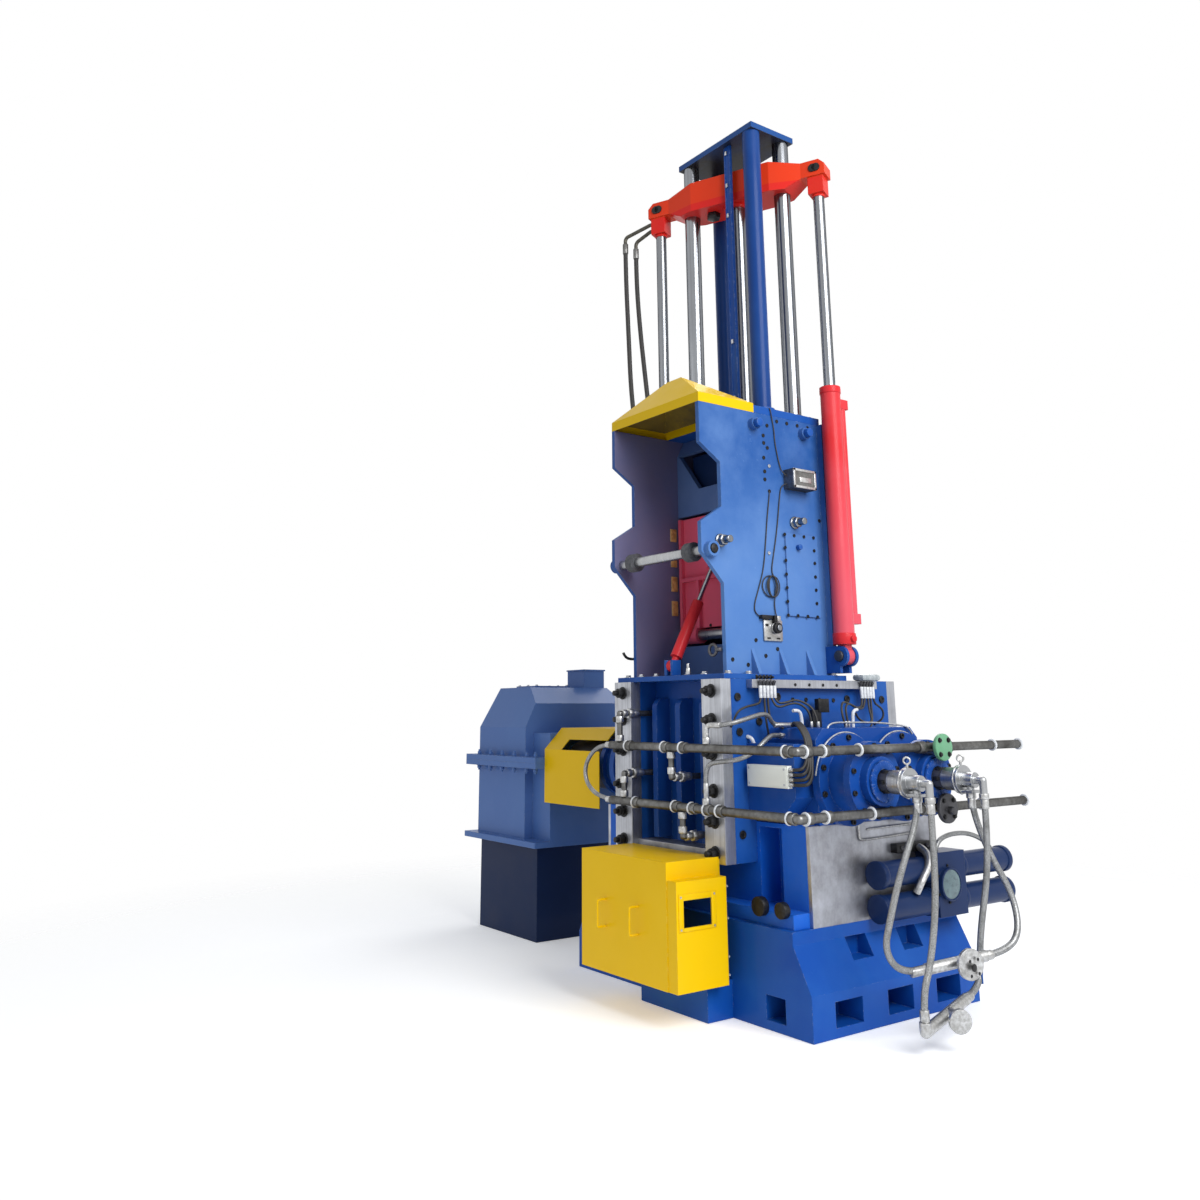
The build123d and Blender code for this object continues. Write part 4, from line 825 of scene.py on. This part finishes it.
def cheek_fasteners():
    heights = (2.664, 2.581, 2.501, 2.415, 2.332, 2.248, 2.164)
    plate = [(y, z) for y in (-0.132, 0.124) for z in heights]
    plate += [(y, z) for y in (-0.049, 0.038) for z in (2.663, 2.164)]
    fasten("cover_plate_screws", socket_screw(0.0105, 0.006), both_ends(PLATE_FACE_X, plate), black_oxide)
    holes = [(-0.232, 3.352), (-0.269, 3.282), (-0.267, 3.234), (-0.237, 3.206), (-0.272, 3.138),
             (-0.269, 3.05), (-0.27, 2.999), (-0.236, 2.927), (-0.144, 3.393), (-0.054, 3.393),
             (0.041, 3.393), (0.135, 3.393), (-0.40, 2.005), (-0.592, 1.888), (-0.224, 1.958),
             (-0.324, 1.915), (0.20, 2.783), (-0.47, 1.86)]
    fasten("cheek_screws", socket_screw(0.012, 0.005), both_ends(CHEEK_FACE_X, holes), black_oxide)
    bright = [(-0.23, 3.089), (-0.263, 2.537)]
    fasten("cheek_bright_screws", socket_screw(0.011, 0.006), both_ends(CHEEK_FACE_X, bright), zinc)
    spots = [(x, y, FOOT_TOP) for x in (-0.474, 0.474) for y in (-0.66, -0.50, 0.22)]
    spots += [(x, -0.685, FOOT_TOP) for x in (-0.30, -0.15, 0.15, 0.30)]
    fasten("hopper_foot_bolts", hex_bolt(0.018), [(spots, (0, 0, 1))], zinc)
    rows, washer, nut, pin = [], CHEEK_FACE_X + 0.014, CHEEK_FACE_X + 0.045, CHEEK_FACE_X + 0.095
    for y, z in ((-0.66, 2.58), (-0.03, 2.747)):
        rows += [bar_x(CHEEK_FACE_X, washer, y, z, 0.040, 28), bar_x(washer, nut, y, z, 0.035, 6),
                 bar_x(nut, pin, y, z, 0.022, 28)]
    rods("cheek_pin_ends", rows, chrome)
    rows = [bar_x(side * 0.440, side * 0.492, -0.745, 2.522, 0.029, 8) for side in (-1, 1)]
    rods("cross_shaft_caps", rows, black_oxide)
    rows = [bar_x(CHEEK_FACE_X + 0.04, CHEEK_FACE_X + 0.075, y, 3.341, 0.030, 8) for y in (-0.360, 0.083)]
    rows.append(bar_x(PLATE_FACE_X, PLATE_FACE_X + 0.03, -0.02, 2.59, 0.018, 8))
    rods("boss_plugs", rows, blue)


def hinge_sensor():
    y, z = -0.262, 2.070
    cheek, face = CHEEK_FACE_X, CHEEK_FACE_X + 0.014
    plate = block((cheek, y - 0.078, z - 0.068), (face, y + 0.078, z + 0.060), 0.006)
    lug = block((cheek, y + 0.02, z + 0.05), (cheek + 0.030, y + 0.05, z + 0.085), 0.004)
    finish_piece(joined([plate, lug]), "hinge_plate", fitting_zinc)
    hub_end = 0.494
    rods("hinge_hub", [bar_x(0.470, hub_end, HINGE_Y, HINGE_Z, 0.033, 28)], black_oxide, "feed_door")
    rods("hinge_shaft_end", [bar_x(hub_end, 0.504, HINGE_Y, HINGE_Z, 0.018, 24)], chrome, "feed_door")
    switches = [((face, y - 0.068, z + 0.02), (face + 0.004, y - 0.045, z + 0.034)),
                ((face, y + 0.050, z + 0.01), (face + 0.004, y + 0.070, z + 0.022)),
                ((face, y - 0.055, z - 0.056), (face + 0.004, y - 0.030, z - 0.046)),
                ((face, y + 0.025, z - 0.056), (face + 0.004, y + 0.050, z - 0.046)),
                ((cheek, y - 0.105, z + 0.062), (cheek + 0.03, y - 0.02, z + 0.085)),
                ((face, y - 0.012, z + 0.045), (face + 0.025, y + 0.012, z + 0.085))]
    plates("hinge_switches", switches, black_oxide, edge=0.001)


def sensor_cables():
    x = CHEEK_FACE_X + 0.006
    sensor_cable("sensor_cable_upper", [
        (0.385, -0.215, 3.474), (0.43, -0.21, 3.474), (x + 0.004, -0.205, 3.47), (x, -0.19, 3.40),
        (x, -0.176, 3.333), (x, -0.174, 3.243), (x, -0.139, 3.093), (x + 0.01, -0.12, 3.05),
        (x + 0.02, -0.105, 3.04)])
    coil_y, coil_z, half_height, per_loop = -0.262, 2.332, 0.066, 13
    loops = ((0.068, -0.006), (0.030, 0.010), (0.054, 0.012), (0.040, 0.004))
    coil = []
    for turn, (half_width, shift) in enumerate(loops):
        for i in range(per_loop):
            angle = pi / 3 - 2 * pi * i / per_loop
            coil.append((x + 0.002 + 0.004 * turn, coil_y + shift + half_width * cos(angle),
                         coil_z + half_height * sin(angle)))
    down = [(x + 0.02, -0.105, 2.985), (x, -0.135, 2.985), (x, -0.158, 2.875), (x, -0.184, 2.709),
            (x, -0.226, 2.533), (x, -0.253, 2.43)]
    tail = [(x + 0.014, -0.236, 2.385), (x + 0.012, -0.226, 2.34), (x + 0.006, -0.238, 2.27),
            (x, -0.24, 2.20), (x + 0.006, -0.232, 2.155)]
    sensor_cable("sensor_cable_coil", down + coil + tail)
    sensor_cable("sensor_cable_side", [
        (x - 0.004, -0.236, 2.927), (x, -0.245, 2.88), (x, -0.268, 2.763), (x, -0.287, 2.625),
        (x, -0.315, 2.441), (x, -0.363, 2.318), (x, -0.409, 2.209), (x, -0.40, 2.16),
        (x + 0.004, -0.36, 2.143)])


def sensor_box_cover():
    low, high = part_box("sensor_box")
    x, rim, proud = high.x, 0.016, 0.007
    rows = [((x, low.y, low.z), (x + proud, low.y + rim, high.z)),
            ((x, high.y - rim, low.z), (x + proud, high.y, high.z)),
            ((x, low.y, low.z), (x + proud, high.y, low.z + rim)),
            ((x, low.y, high.z - rim), (x + proud, high.y, high.z)),
            ((x, low.y + 0.055, low.z + 0.038), (x + 0.005, high.y - 0.045, high.z - 0.052))]
    plates("sensor_box_rim", rows, fitting_zinc, edge=0.0015)


def crosshead_fittings():
    along, across = Vector((0.9136, 0.4066, 0)), Vector((-0.4066, 0.9136, 0))
    pins, collars = [], []
    for reach in (-LIFT_REACH, LIFT_REACH):
        middle = along * reach + Vector((0, 0, 5.2245))
        for side in (-1, 1):
            face = middle + across * side * 0.065
            for shift in (-0.011, 0.011):
                pins.append(turned(face + along * shift - across * side * 0.004,
                                   face + along * shift + across * side * 0.008, 0.030, 0.003, 24))
        rod = along * reach
        collars.append(bar_z(rod.x, rod.y, 5.022, 5.042, 0.045, 28))
    finish_piece(joined(pins), "crosshead_pins", black_oxide, "ram")
    rods("rod_collars", collars + [bar_z(0, 0, 5.084, 5.106, 0.092, 32)], orange, "ram")
    rods("crosshead_nut", [bar_z(-0.16, -0.075, 5.064, 5.106, 0.05, 6)], black_oxide, "ram")
    crimps = [bar_z(*OUTER_HOSE, 5.046, 4.966, 0.021, 20), bar_z(*INNER_HOSE, 4.985, 4.905, 0.021, 20)]
    rods("ram_hose_crimps", crimps, pipe_zinc, "ram")


def tower_fittings():
    low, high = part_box("sensor_rail")
    face, edge = low.y + 0.001, 0.012
    sensors = [((low.x + 0.018, face - 0.014, z), (low.x + 0.036, face, z + 0.03))
               for z in (5.43, 5.18, 4.95, 4.02, 3.62)]
    plates("rail_sensors", sensors, zinc)
    edges = [((x, face - 0.005, low.z + 0.004), (x + edge, face, high.z - 0.005))
             for x in (low.x, high.x - edge)]
    plates("rail_edges", edges, deep_blue)
    base = TOWER_BASE_TOP
    rods("post_foot_rings", [bar_z(x, y, base, 3.501, 0.082, 36) for x, y in POSTS], blue)
    rods("column_foot_rings", [bar_z(x, y, base, 3.495, 0.074, 36) for x, y in COLUMNS], dull_steel)
    bolts = [(x + dx, y + dy, base) for x, y in COLUMNS for dx in (-0.085, 0.085) for dy in (-0.06, 0.06)]
    fasten("column_foot_bolts", hex_bolt(0.014), [(bolts, (0, 0, 1))], black_oxide)


def lift_fittings():
    collars, pins = [], []
    for x, y in LIFTS:
        out = 1 if x > 0 else -1
        collars += [bar_z(x, y, 3.612, 3.659, 0.069, 36), bar_z(x, y, 1.992, 2.062, 0.071, 36),
                    bar_x(x + out * 0.055, x + out * 0.084, y, 2.026, 0.022, 20)]
        pins += [bar_y(x, y + side * 0.050, y + side * 0.068, 1.922, 0.034, 28) for side in (-1, 1)]
    rods("lift_cylinder_collars", collars, red)
    rods("lift_pin_heads", pins, dull_steel)


def latch_guard_fittings():
    guard_low, guard_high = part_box("latch_guard")
    x, front = guard_high.x, guard_high.x + 0.004
    low_y, high_y, low_z, high_z = -1.106, -0.848, 0.483, 0.667
    hole_low_y, hole_high_y, hole_low_z, hole_high_z = -1.073, -0.880, 0.502, 0.635
    rows = [((x, low_y, low_z), (front, hole_low_y, high_z)),
            ((x, hole_high_y, low_z), (front, high_y, high_z)),
            ((x, hole_low_y, low_z), (front, hole_high_y, hole_low_z)),
            ((x, hole_low_y, hole_high_z), (front, hole_high_y, high_z))]
    plates("window_frame", rows, yellow, edge=0.001)
    spots = [(front, y, z) for y in (low_y + 0.014, high_y - 0.014) for z in (low_z + 0.012, high_z - 0.014)]
    spots += [(x, -0.765, z) for z in (0.24, 0.33, 0.52, 0.68)]
    fasten("guard_screws", socket_screw(0.006, 0.003), [(spots, (1, 0, 0))], zinc)
    face, bend, low, high = guard_low.y, 0.02, 0.430, 0.571
    near, out = face - 0.04, face - 0.060
    routes = [[(x, face, low), (x, near, low), (x, out, low), (x, out, low + bend),
               (x, out, high - bend), (x, out, high), (x, near, high), (x, face, high)]
              for x in (-0.09, 0.204)]
    lines("guard_handles", routes, 0.006, yellow)
    plates("guard_wing", [((-0.345, -1.100, 0.22), (-0.329, -0.90, 0.78))], yellow)


def lubrication_blocks():
    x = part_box("lubrication_bar")[1].x
    white, dark, grey = [], [], []
    for y in (-0.498, -0.470, -0.442, -0.414, -0.386, 0.363, 0.390, 0.417, 0.442, 0.467):
        white.append(bar_z(x + 0.011, y, 1.668, 1.738, 0.0105, 14))
        dark += [bar_z(x - 0.015, y, 1.772, 1.80, 0.008, 10),
                 bar_x(x - 0.015, x + 0.007, y, 1.786, 0.007, 10)]
        grey.append(((x - 0.001, y, 1.738), (x + 0.015, y, 1.766), 0.0095, 10))
    rods("lubrication_fittings", white, white_plastic)
    rods("lubrication_nipples", dark, black_oxide)
    rods("lubrication_metering", grey, dull_steel)
    spots = [(x, y, 1.745) for y in (-0.203, -0.085, 0.033, 0.153)]
    fasten("lubrication_bar_screws", socket_screw(0.0095, 0.003), [(spots, (1, 0, 0))], black_oxide)
    finish_piece(block((0.508, 0.345, 1.774), (0.60, 0.515, 1.815), 0.018), "lubrication_cover", clear_cover)


def lubrication_lines():
    top, seat = 1.674, 1.498
    routes = [
        [(0.566, -0.498, top), (0.566, -0.501, 1.645), (0.562, -0.532, 1.632), (0.56, -0.609, 1.62),
         (0.56, -0.663, 1.601), (0.55, -0.684, 1.57), (0.53, -0.683, 1.532), (0.506, -0.68, 1.51)],
        [(0.566, -0.470, top), (0.57, -0.472, 1.60), (0.575, -0.47, 1.53), (0.57, -0.452, 1.47),
         (0.55, -0.437, 1.44), (0.506, -0.437, 1.43)],
        [(0.566, -0.442, top), (0.57, -0.445, 1.60), (0.58, -0.44, 1.54), (0.60, -0.42, 1.51),
         (0.63, -0.39, 1.50)],
        [(0.566, -0.414, top), (0.58, -0.41, 1.63), (0.60, -0.38, 1.615), (0.61, -0.32, 1.635),
         (0.63, -0.26, 1.64), (0.66, -0.215, 1.60), (0.67, -0.205, 1.54), (0.67, -0.205, seat)],
        [(0.566, -0.386, top), (0.58, -0.385, 1.64), (0.60, -0.34, 1.64), (0.62, -0.28, 1.66),
         (0.65, -0.22, 1.64), (0.69, -0.185, 1.59), (0.70, -0.18, seat)],
        [(0.566, 0.363, top), (0.57, 0.355, 1.63), (0.59, 0.31, 1.613), (0.61, 0.24, 1.613),
         (0.64, 0.16, 1.64), (0.67, 0.09, 1.62), (0.68, 0.085, 1.56), (0.68, 0.10, seat)],
        [(0.566, 0.390, top), (0.57, 0.375, 1.62), (0.60, 0.30, 1.60), (0.63, 0.19, 1.63),
         (0.66, 0.08, 1.65), (0.70, 0.02, 1.61), (0.71, 0.02, 1.55), (0.71, 0.04, seat)],
        [(0.566, 0.417, top), (0.57, 0.415, 1.61), (0.60, 0.40, 1.55), (0.62, 0.37, 1.525),
         (0.64, 0.30, 1.52), (0.66, 0.20, 1.55), (0.66, 0.19, 1.58)],
        [(0.566, 0.442, top), (0.57, 0.44, 1.60), (0.58, 0.43, 1.54), (0.60, 0.40, 1.51), (0.62, 0.36, seat)],
        [(0.566, 0.467, top), (0.57, 0.47, 1.64), (0.57, 0.50, 1.625), (0.57, 0.545, 1.60),
         (0.565, 0.555, 1.56), (0.55, 0.54, 1.53), (0.506, 0.53, 1.51)],
    ]
    lines("lubrication_lines", routes, 0.0065, rubber)
    places = ((0.67, -0.205), (0.70, -0.18), (0.68, 0.10), (0.71, 0.04))
    rods("lubrication_ends", [bar_z(x, y, 1.500, 1.535, 0.010, 8) for x, y in places], fitting_zinc)
    elbows = [
        [(0.66, -0.34, 1.596), (0.66, -0.305, 1.598), (0.66, -0.28, 1.585), (0.66, -0.272, 1.545),
         (0.66, -0.272, seat)],
        [(0.66, 0.205, 1.60), (0.66, 0.185, 1.60), (0.66, 0.165, 1.585), (0.66, 0.16, 1.545),
         (0.66, 0.16, seat)],
        [(0.507, -0.56, 1.455), (0.53, -0.555, 1.452), (0.54, -0.545, 1.43), (0.54, -0.535, 1.40)],
    ]
    lines("white_elbows", elbows, 0.010, white_plastic)
    post = block((0.565, -0.105, seat), (0.590, -0.03, 1.60), 0.003)
    arm = block((0.560, -0.055, 1.585), (0.595, 0.035, 1.665), 0.003)
    finish_piece(joined([post, arm]), "line_bracket", black_oxide)


def box_fittings():
    low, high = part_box("junction_box")
    x, y = high.x, (low.y + high.y) / 2
    lid = low.y - 0.005
    glands, cables = [], []
    for i in range(4):
        z = low.z + 0.02 + i * (high.z - low.z - 0.04) / 3
        glands += [bar_x(x, x + 0.018, y, z, 0.0125, 8), bar_x(x + 0.018, x + 0.032, y, z, 0.010, 14)]
        step = 0.012 * (3 - i)
        cables.append([(x + 0.03, y, z), (x + 0.065 + step, y + 0.004, z),
                       (x + 0.078 + step, y + 0.03, z + 0.01), (x + 0.064 + step, y + 0.07, z + 0.05),
                       (x + 0.05, y + 0.09 + step, 1.39), (x + 0.03, y + 0.10 + step, 1.46),
                       (x - 0.02, y + 0.10 + step, 1.52), (x - 0.08, y + 0.13 + step, 1.535),
                       (x - 0.14, y + 0.18 + step, 1.515)])
    rods("cable_glands", glands, zinc)
    lines("box_cables", cables, 0.0095, rubber)
    corners = ((low.x + 0.005, lid, low.z + 0.005), (x - 0.005, low.y, high.z - 0.005))
    plates("junction_box_lid", [corners], cream)
    spots = [(side, lid, z) for side in (low.x + 0.02, x - 0.02) for z in (low.z + 0.018, high.z - 0.018)]
    fasten("lid_screws", socket_screw(0.006, 0.003), [(spots, (0, -1, 0))], zinc)


def pipe_rings():
    white, steel = [], []
    half, end = 0.006, 0.045
    front = {SUPPLY_Z: (-0.24, 0.11, 0.272, 1.09), RETURN_Z: (-0.17, 0.198, 0.345, 0.469, 0.572, 1.10)}
    side = {SUPPLY_Z: (-0.80, -0.666, -0.391, 0.776, 1.036), RETURN_Z: (-0.81, -0.668, -0.318, 0.626, 1.045)}
    for z, places in front.items():
        white += [bar_x(x - half, x + half, HEADER_Y, z, 0.034, 28) for x in places]
        steel += [bar_x(x + half, x + end, HEADER_Y, z, 0.031, 24) for x in places]
    for z, places in side.items():
        white += [bar_y(HEADER_X, y - half, y + half, z, 0.034, 28) for y in places]
        steel += [bar_y(HEADER_X, y + half, y + end, z, 0.031, 24) for y in places[:2]]
        steel += [bar_y(HEADER_X, 0.09, 0.15, z, 0.033, 24), bar_y(HEADER_X, 0.32, 0.38, z, 0.033, 24)]
    rods("pipe_rings", white, white_plastic)
    rods("pipe_sleeves", steel, pipe_zinc)


def branch_fittings():
    y, rows = HEADER_Y, []
    for x, header_z, end_z in ((-0.315, SUPPLY_Z, 1.585), (0.178, SUPPLY_Z, 1.23),
                               (-0.276, RETURN_Z, 1.232), (0.268, RETURN_Z, 0.916)):
        way = 1 if end_z > header_z else -1
        rows += [bar_z(x, y, header_z + way * 0.025, header_z + way * 0.062, 0.025, 20),
                 bar_z(x, y, end_z - way * 0.055, end_z - way * 0.016, 0.024, 20),
                 bar_y(x, y + 0.016, y + 0.05, end_z, 0.024, 20),
                 bar_y(x, y + 0.062, y + 0.098, end_z, 0.031, 8),
                 bar_y(x, y + 0.098, y + 0.14, end_z, 0.022, 20)]
    for x, z, end, radius, sides in ((0.488, SUPPLY_Z, 0.085, 0.016, 16), (0.475, RETURN_Z, 0.140, 0.015, 8)):
        rows += [bar_z(x, y, z + 0.024, z + 0.060, 0.022, 20), bar_z(x, y, z + 0.060, z + end, radius, sides)]
    rows += [((0.555, y, 1.521), (0.605, y + 0.002, 1.521), 0.017, 8),
             bar_y(0.62, -0.455, -0.31, 1.5165, 0.0155, 8),
             ((0.6445, -0.440, 1.4595), (0.640, -0.395, 1.4545), 0.018, 8)]
    rows += [bar_x(-0.400, -0.455, y, z, 0.019, 8) for z in (SUPPLY_Z, RETURN_Z)]
    rods("branch_fittings", rows, fitting_zinc)
    elbow = [(0.488, y, 1.45), (0.488, y, 1.485), (0.50, y, 1.52), (0.55, y, 1.522), (0.58, y, 1.522)]
    lines("link_elbow", [elbow], 0.0145, fitting_zinc)


def link_hoses():
    link_hose("link_hose_upper", [
        (0.488, -0.85, 1.42), (0.488, -0.85, 1.485), (0.50, -0.85, 1.52), (0.55, -0.85, 1.522),
        (0.62, -0.845, 1.522), (0.67, -0.80, 1.535), (0.67, -0.68, 1.562), (0.655, -0.58, 1.58),
        (0.635, -0.51, 1.572), (0.62, -0.47, 1.53), (0.62, -0.43, 1.5165), (0.62, -0.33, 1.5165)])
    link_hose("link_hose_lower", [
        (0.475, -0.85, 1.10), (0.475, -0.85, 1.19), (0.475, -0.85, 1.265), (0.50, -0.845, 1.318),
        (0.58, -0.81, 1.328), (0.66, -0.75, 1.34), (0.695, -0.67, 1.39), (0.69, -0.58, 1.45),
        (0.66, -0.50, 1.468), (0.640, -0.40, 1.455)])
    link_hose("link_hose_left", [
        (-0.41, -0.85, 1.395), (-0.505, -0.85, 1.393), (-0.62, -0.85, 1.345), (-0.69, -0.85, 1.262),
        (-0.686, -0.85, 1.18), (-0.63, -0.85, 1.125), (-0.54, -0.85, 1.085), (-0.41, -0.85, 1.072)])


def tee_fittings():
    rows = [(round_about((TEE_FACE_X, TEE_Y, z), radius, 4, pi / 4), (1, 0, 0))
            for z, radius in ((SUPPLY_Z, 0.054), (RETURN_Z, 0.060))]
    fasten("tee_flange_bolts", hex_bolt(0.011), rows, black_oxide)
    back, front = 1.217, 1.2405
    rods("green_flange", [bar_x(back, front, TEE_Y, SUPPLY_Z, 0.0735, 40)], green)
    rods("grey_flange", [bar_x(back, front, TEE_Y, RETURN_Z, 0.079, 40),
                         bar_x(front, 1.275, TEE_Y, RETURN_Z - 0.01, 0.022, 8)], dull_steel)


def hose_fittings():
    rows, eyes, joint_x = [], [], 1.345
    for y in (-ROTOR_Y, ROTOR_Y):
        for x in (1.3953, 1.4753):
            rows += [bar_z(x, y, 1.165, 1.135, 0.027, 8), bar_z(x, y, 1.135, 1.085, 0.0215, 20)]
        rows.append(bar_x(1.334, joint_x, y, ROTOR_Z, 0.082, 8))
    ends = (((1.34, -0.30, 0.332), (1.3653, -0.215, 0.342)),
            ((1.4785, 0.175, 0.381), (1.4653, 0.139, 0.377)),
            ((1.4718, -0.3825, 0.205), (1.4718, -0.3825, 0.150)),
            ((1.42, 0.05, 0.195), (1.4253, 0.006, 0.188)))
    rows += [(start, end, 0.024, 8) for start, end in ends]
    rods("hose_fittings", rows, fitting_zinc)
    for y in (-ROTOR_Y, ROTOR_Y):
        eyes += [turned((joint_x, y, 1.30), (joint_x, y, 1.325), 0.007, 0.001, 12),
                 ring((joint_x, y, 1.340), (0.6, -0.8, 0), 0.017, 0.005, 24, 8)]
    finish_piece(joined(eyes), "joint_eyebolts", fitting_zinc)


def manifold_fittings():
    y, z = -0.036, 0.352
    corners = ((0.03, 0.036), (-0.034, 0.034), (0.034, -0.03), (-0.03, -0.034))
    holes = [(1.521, y + dy, z + dz) for dy, dz in corners]
    fasten("flange_bolts", socket_screw(0.0085, 0.003), [(holes, (1, 0, 0))], black_oxide)
    rods("flange_bores", [bar_x(1.515, 1.5225, y, z, 0.019, 24)], black_oxide)
    hub = turned((1.405, 0.140, z), (1.405, 0.168, z), 0.013, 0.002, 16)
    lever = block((1.397, 0.158, 0.232), (1.421, 0.165, z), 0.003)
    finish_piece(joined([hub, lever]), "valve_lever", blue)


def actuator_fittings():
    low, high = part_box("discharge_actuator")
    x, radius, rows = 0.9785, 0.0745, []
    for z in (0.553, 0.725):
        rows += [bar_y(x, y, y + 0.036, z, radius, 36) for y in (low.y - 0.004, high.y - 0.032)]
        rows += [bar_y(x, y, y + 0.03, z, radius, 36) for y in (0.31, 0.59)]
    rods("actuator_caps", rows, navy)
    x, y, z = high.x, 0.427, 0.645
    finish_piece(ring((x, y, z), (1, 0, 0), 0.083, 0.006, 44, 10), "dial_rim", navy)
    rods("dial_face", [bar_x(x - 0.01, x + 0.002, y, z, 0.078, 44)], dial_grey)
    screws = round_about((x - 0.022, y, z), 0.098, 6, pi / 6)
    fasten("dial_screws", socket_screw(0.007, 0.006), [(screws, (1, 0, 0))], black_oxide)
    face = 0.952
    plates("valve_block", [((0.904, 0.13, 0.818), (face, 0.43, 0.868))], black_oxide, edge=0.004)
    screws = [(face, y, 0.845) for y in (0.17, 0.30, 0.39)]
    fasten("valve_block_screws", socket_screw(0.012, 0.008), [(screws, (1, 0, 0))], dull_steel)
    link_hose("actuator_hose", [
        (1.0, 0.40, 0.80), (1.0, 0.402, 0.835), (1.0, 0.45, 0.88), (1.0, 0.56, 0.90), (1.0, 0.70, 0.895),
        (1.0, 0.82, 0.86), (1.0, 0.90, 0.81), (0.99, 0.93, 0.79)])
    wrapped = [(0.96, 0.31, 0.84), (1.0, 0.306, 0.83), (1.04, 0.29, 0.79), (1.055, 0.25, 0.738),
               (1.055, 0.21, 0.70), (1.05, 0.181, 0.66), (1.03, 0.175, 0.62)]
    lines("wrapped_line", [wrapped], 0.021, fitting_zinc)


def bed_fittings():
    x, end = BED_FACE_X + 0.009, BED_FACE_X
    routes = [[(x, -0.134, 0.985), (x, -0.134, 0.93), (x, -0.13, 0.905), (x, -0.08, 0.902), (x, 0.247, 0.911),
               (x, 0.30, 0.915), (end, 0.32, 0.915)],
              [(end, -0.06, 0.955), (x, -0.03, 0.957), (x, 0.1, 0.96), (x, 0.30, 0.961), (end, 0.33, 0.961)]]
    lines("bed_face_lines", routes, 0.006, fitting_zinc)
    caps = [bar_y(x, -0.631, -0.672, 0.585, radius, 20) for x, radius in ((0.658, 0.05), (0.822, 0.042))]
    rods("bed_anchor_caps", caps, black_oxide)


def hopper_fittings():
    blocks = [((-0.413, -0.338, low), (-0.404, -0.288, high))
              for low, high in ((2.714, 2.80), (2.541, 2.593), (2.376, 2.476), (2.214, 2.313))]
    plates("wear_blocks", blocks, brass)
    y, z = -0.655, 1.945
    eye = [turned((0.372, y, z), (0.415, y, z), 0.012, 0.002, 16),
           ring((0.345, y, z), (0, 1, 0), 0.032, 0.009, 30, 10)]
    finish_piece(joined(eye), "cheek_eye", dull_steel)
    hook = [(-0.44, -0.595, 1.93), (-0.462, -0.60, 1.93), (-0.466, -0.64, 1.925), (-0.466, -0.69, 1.935),
            (-0.466, -0.705, 1.965)]
    lines("cheek_hook", [hook], 0.009, black_oxide)
    x, y, neck = 0.17, -0.700, 1.845
    nipple = [bar_z(x, y, FOOT_TOP, neck, 0.014, 8), bar_z(x, y, neck, 1.872, 0.009, 14)]
    rods("foot_nipple", nipple, fitting_zinc)
    bolts = [spot("feed_door", (x, -1.0, 2.135), (0, 1, 0)) for x in (-0.30, -0.11, 0.10, 0.30)]
    fasten("door_bolts", socket_screw(0.010, 0.006), [(bolts, (0, -1, 0))], black_oxide, "feed_door")


def gearbox_fittings():
    places = [(x, y) for y in (-0.555, 0.555) for x in (-2.6, -2.42, -2.24, -2.06, -1.88, -1.76)]
    rows = [([(x, y, z) for x, y in places], (0, 0, way)) for z, way in ((1.19, -1), (1.27, 1))]
    fasten("parting_flange_nuts", stud_and_nut(0.016), rows, gear_blue)
    top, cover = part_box("gearbox_upper_case")[1].z, 1.800
    plates("top_box_lid", [((-2.398, 0.142, top), (-2.142, 0.358, top + 0.012))], gear_blue)
    plates("inspection_cover", [((-2.55, -0.25, 1.784), (-2.25, 0.08, cover))], gear_blue)
    bolts = [(x, y, cover) for x in (-2.53, -2.40, -2.27) for y in (-0.23, 0.06)]
    fasten("inspection_bolts", hex_bolt(0.011), [(bolts, (0, 0, 1))], zinc)


chamber_fasteners()
housing_fasteners()
cheek_fasteners()
hinge_sensor()
sensor_cables()
sensor_box_cover()
crosshead_fittings()
tower_fittings()
lift_fittings()
latch_guard_fittings()
lubrication_blocks()
lubrication_lines()
box_fittings()
pipe_rings()
branch_fittings()
link_hoses()
tee_fittings()
hose_fittings()
manifold_fittings()
actuator_fittings()
bed_fittings()
hopper_fittings()
gearbox_fittings()
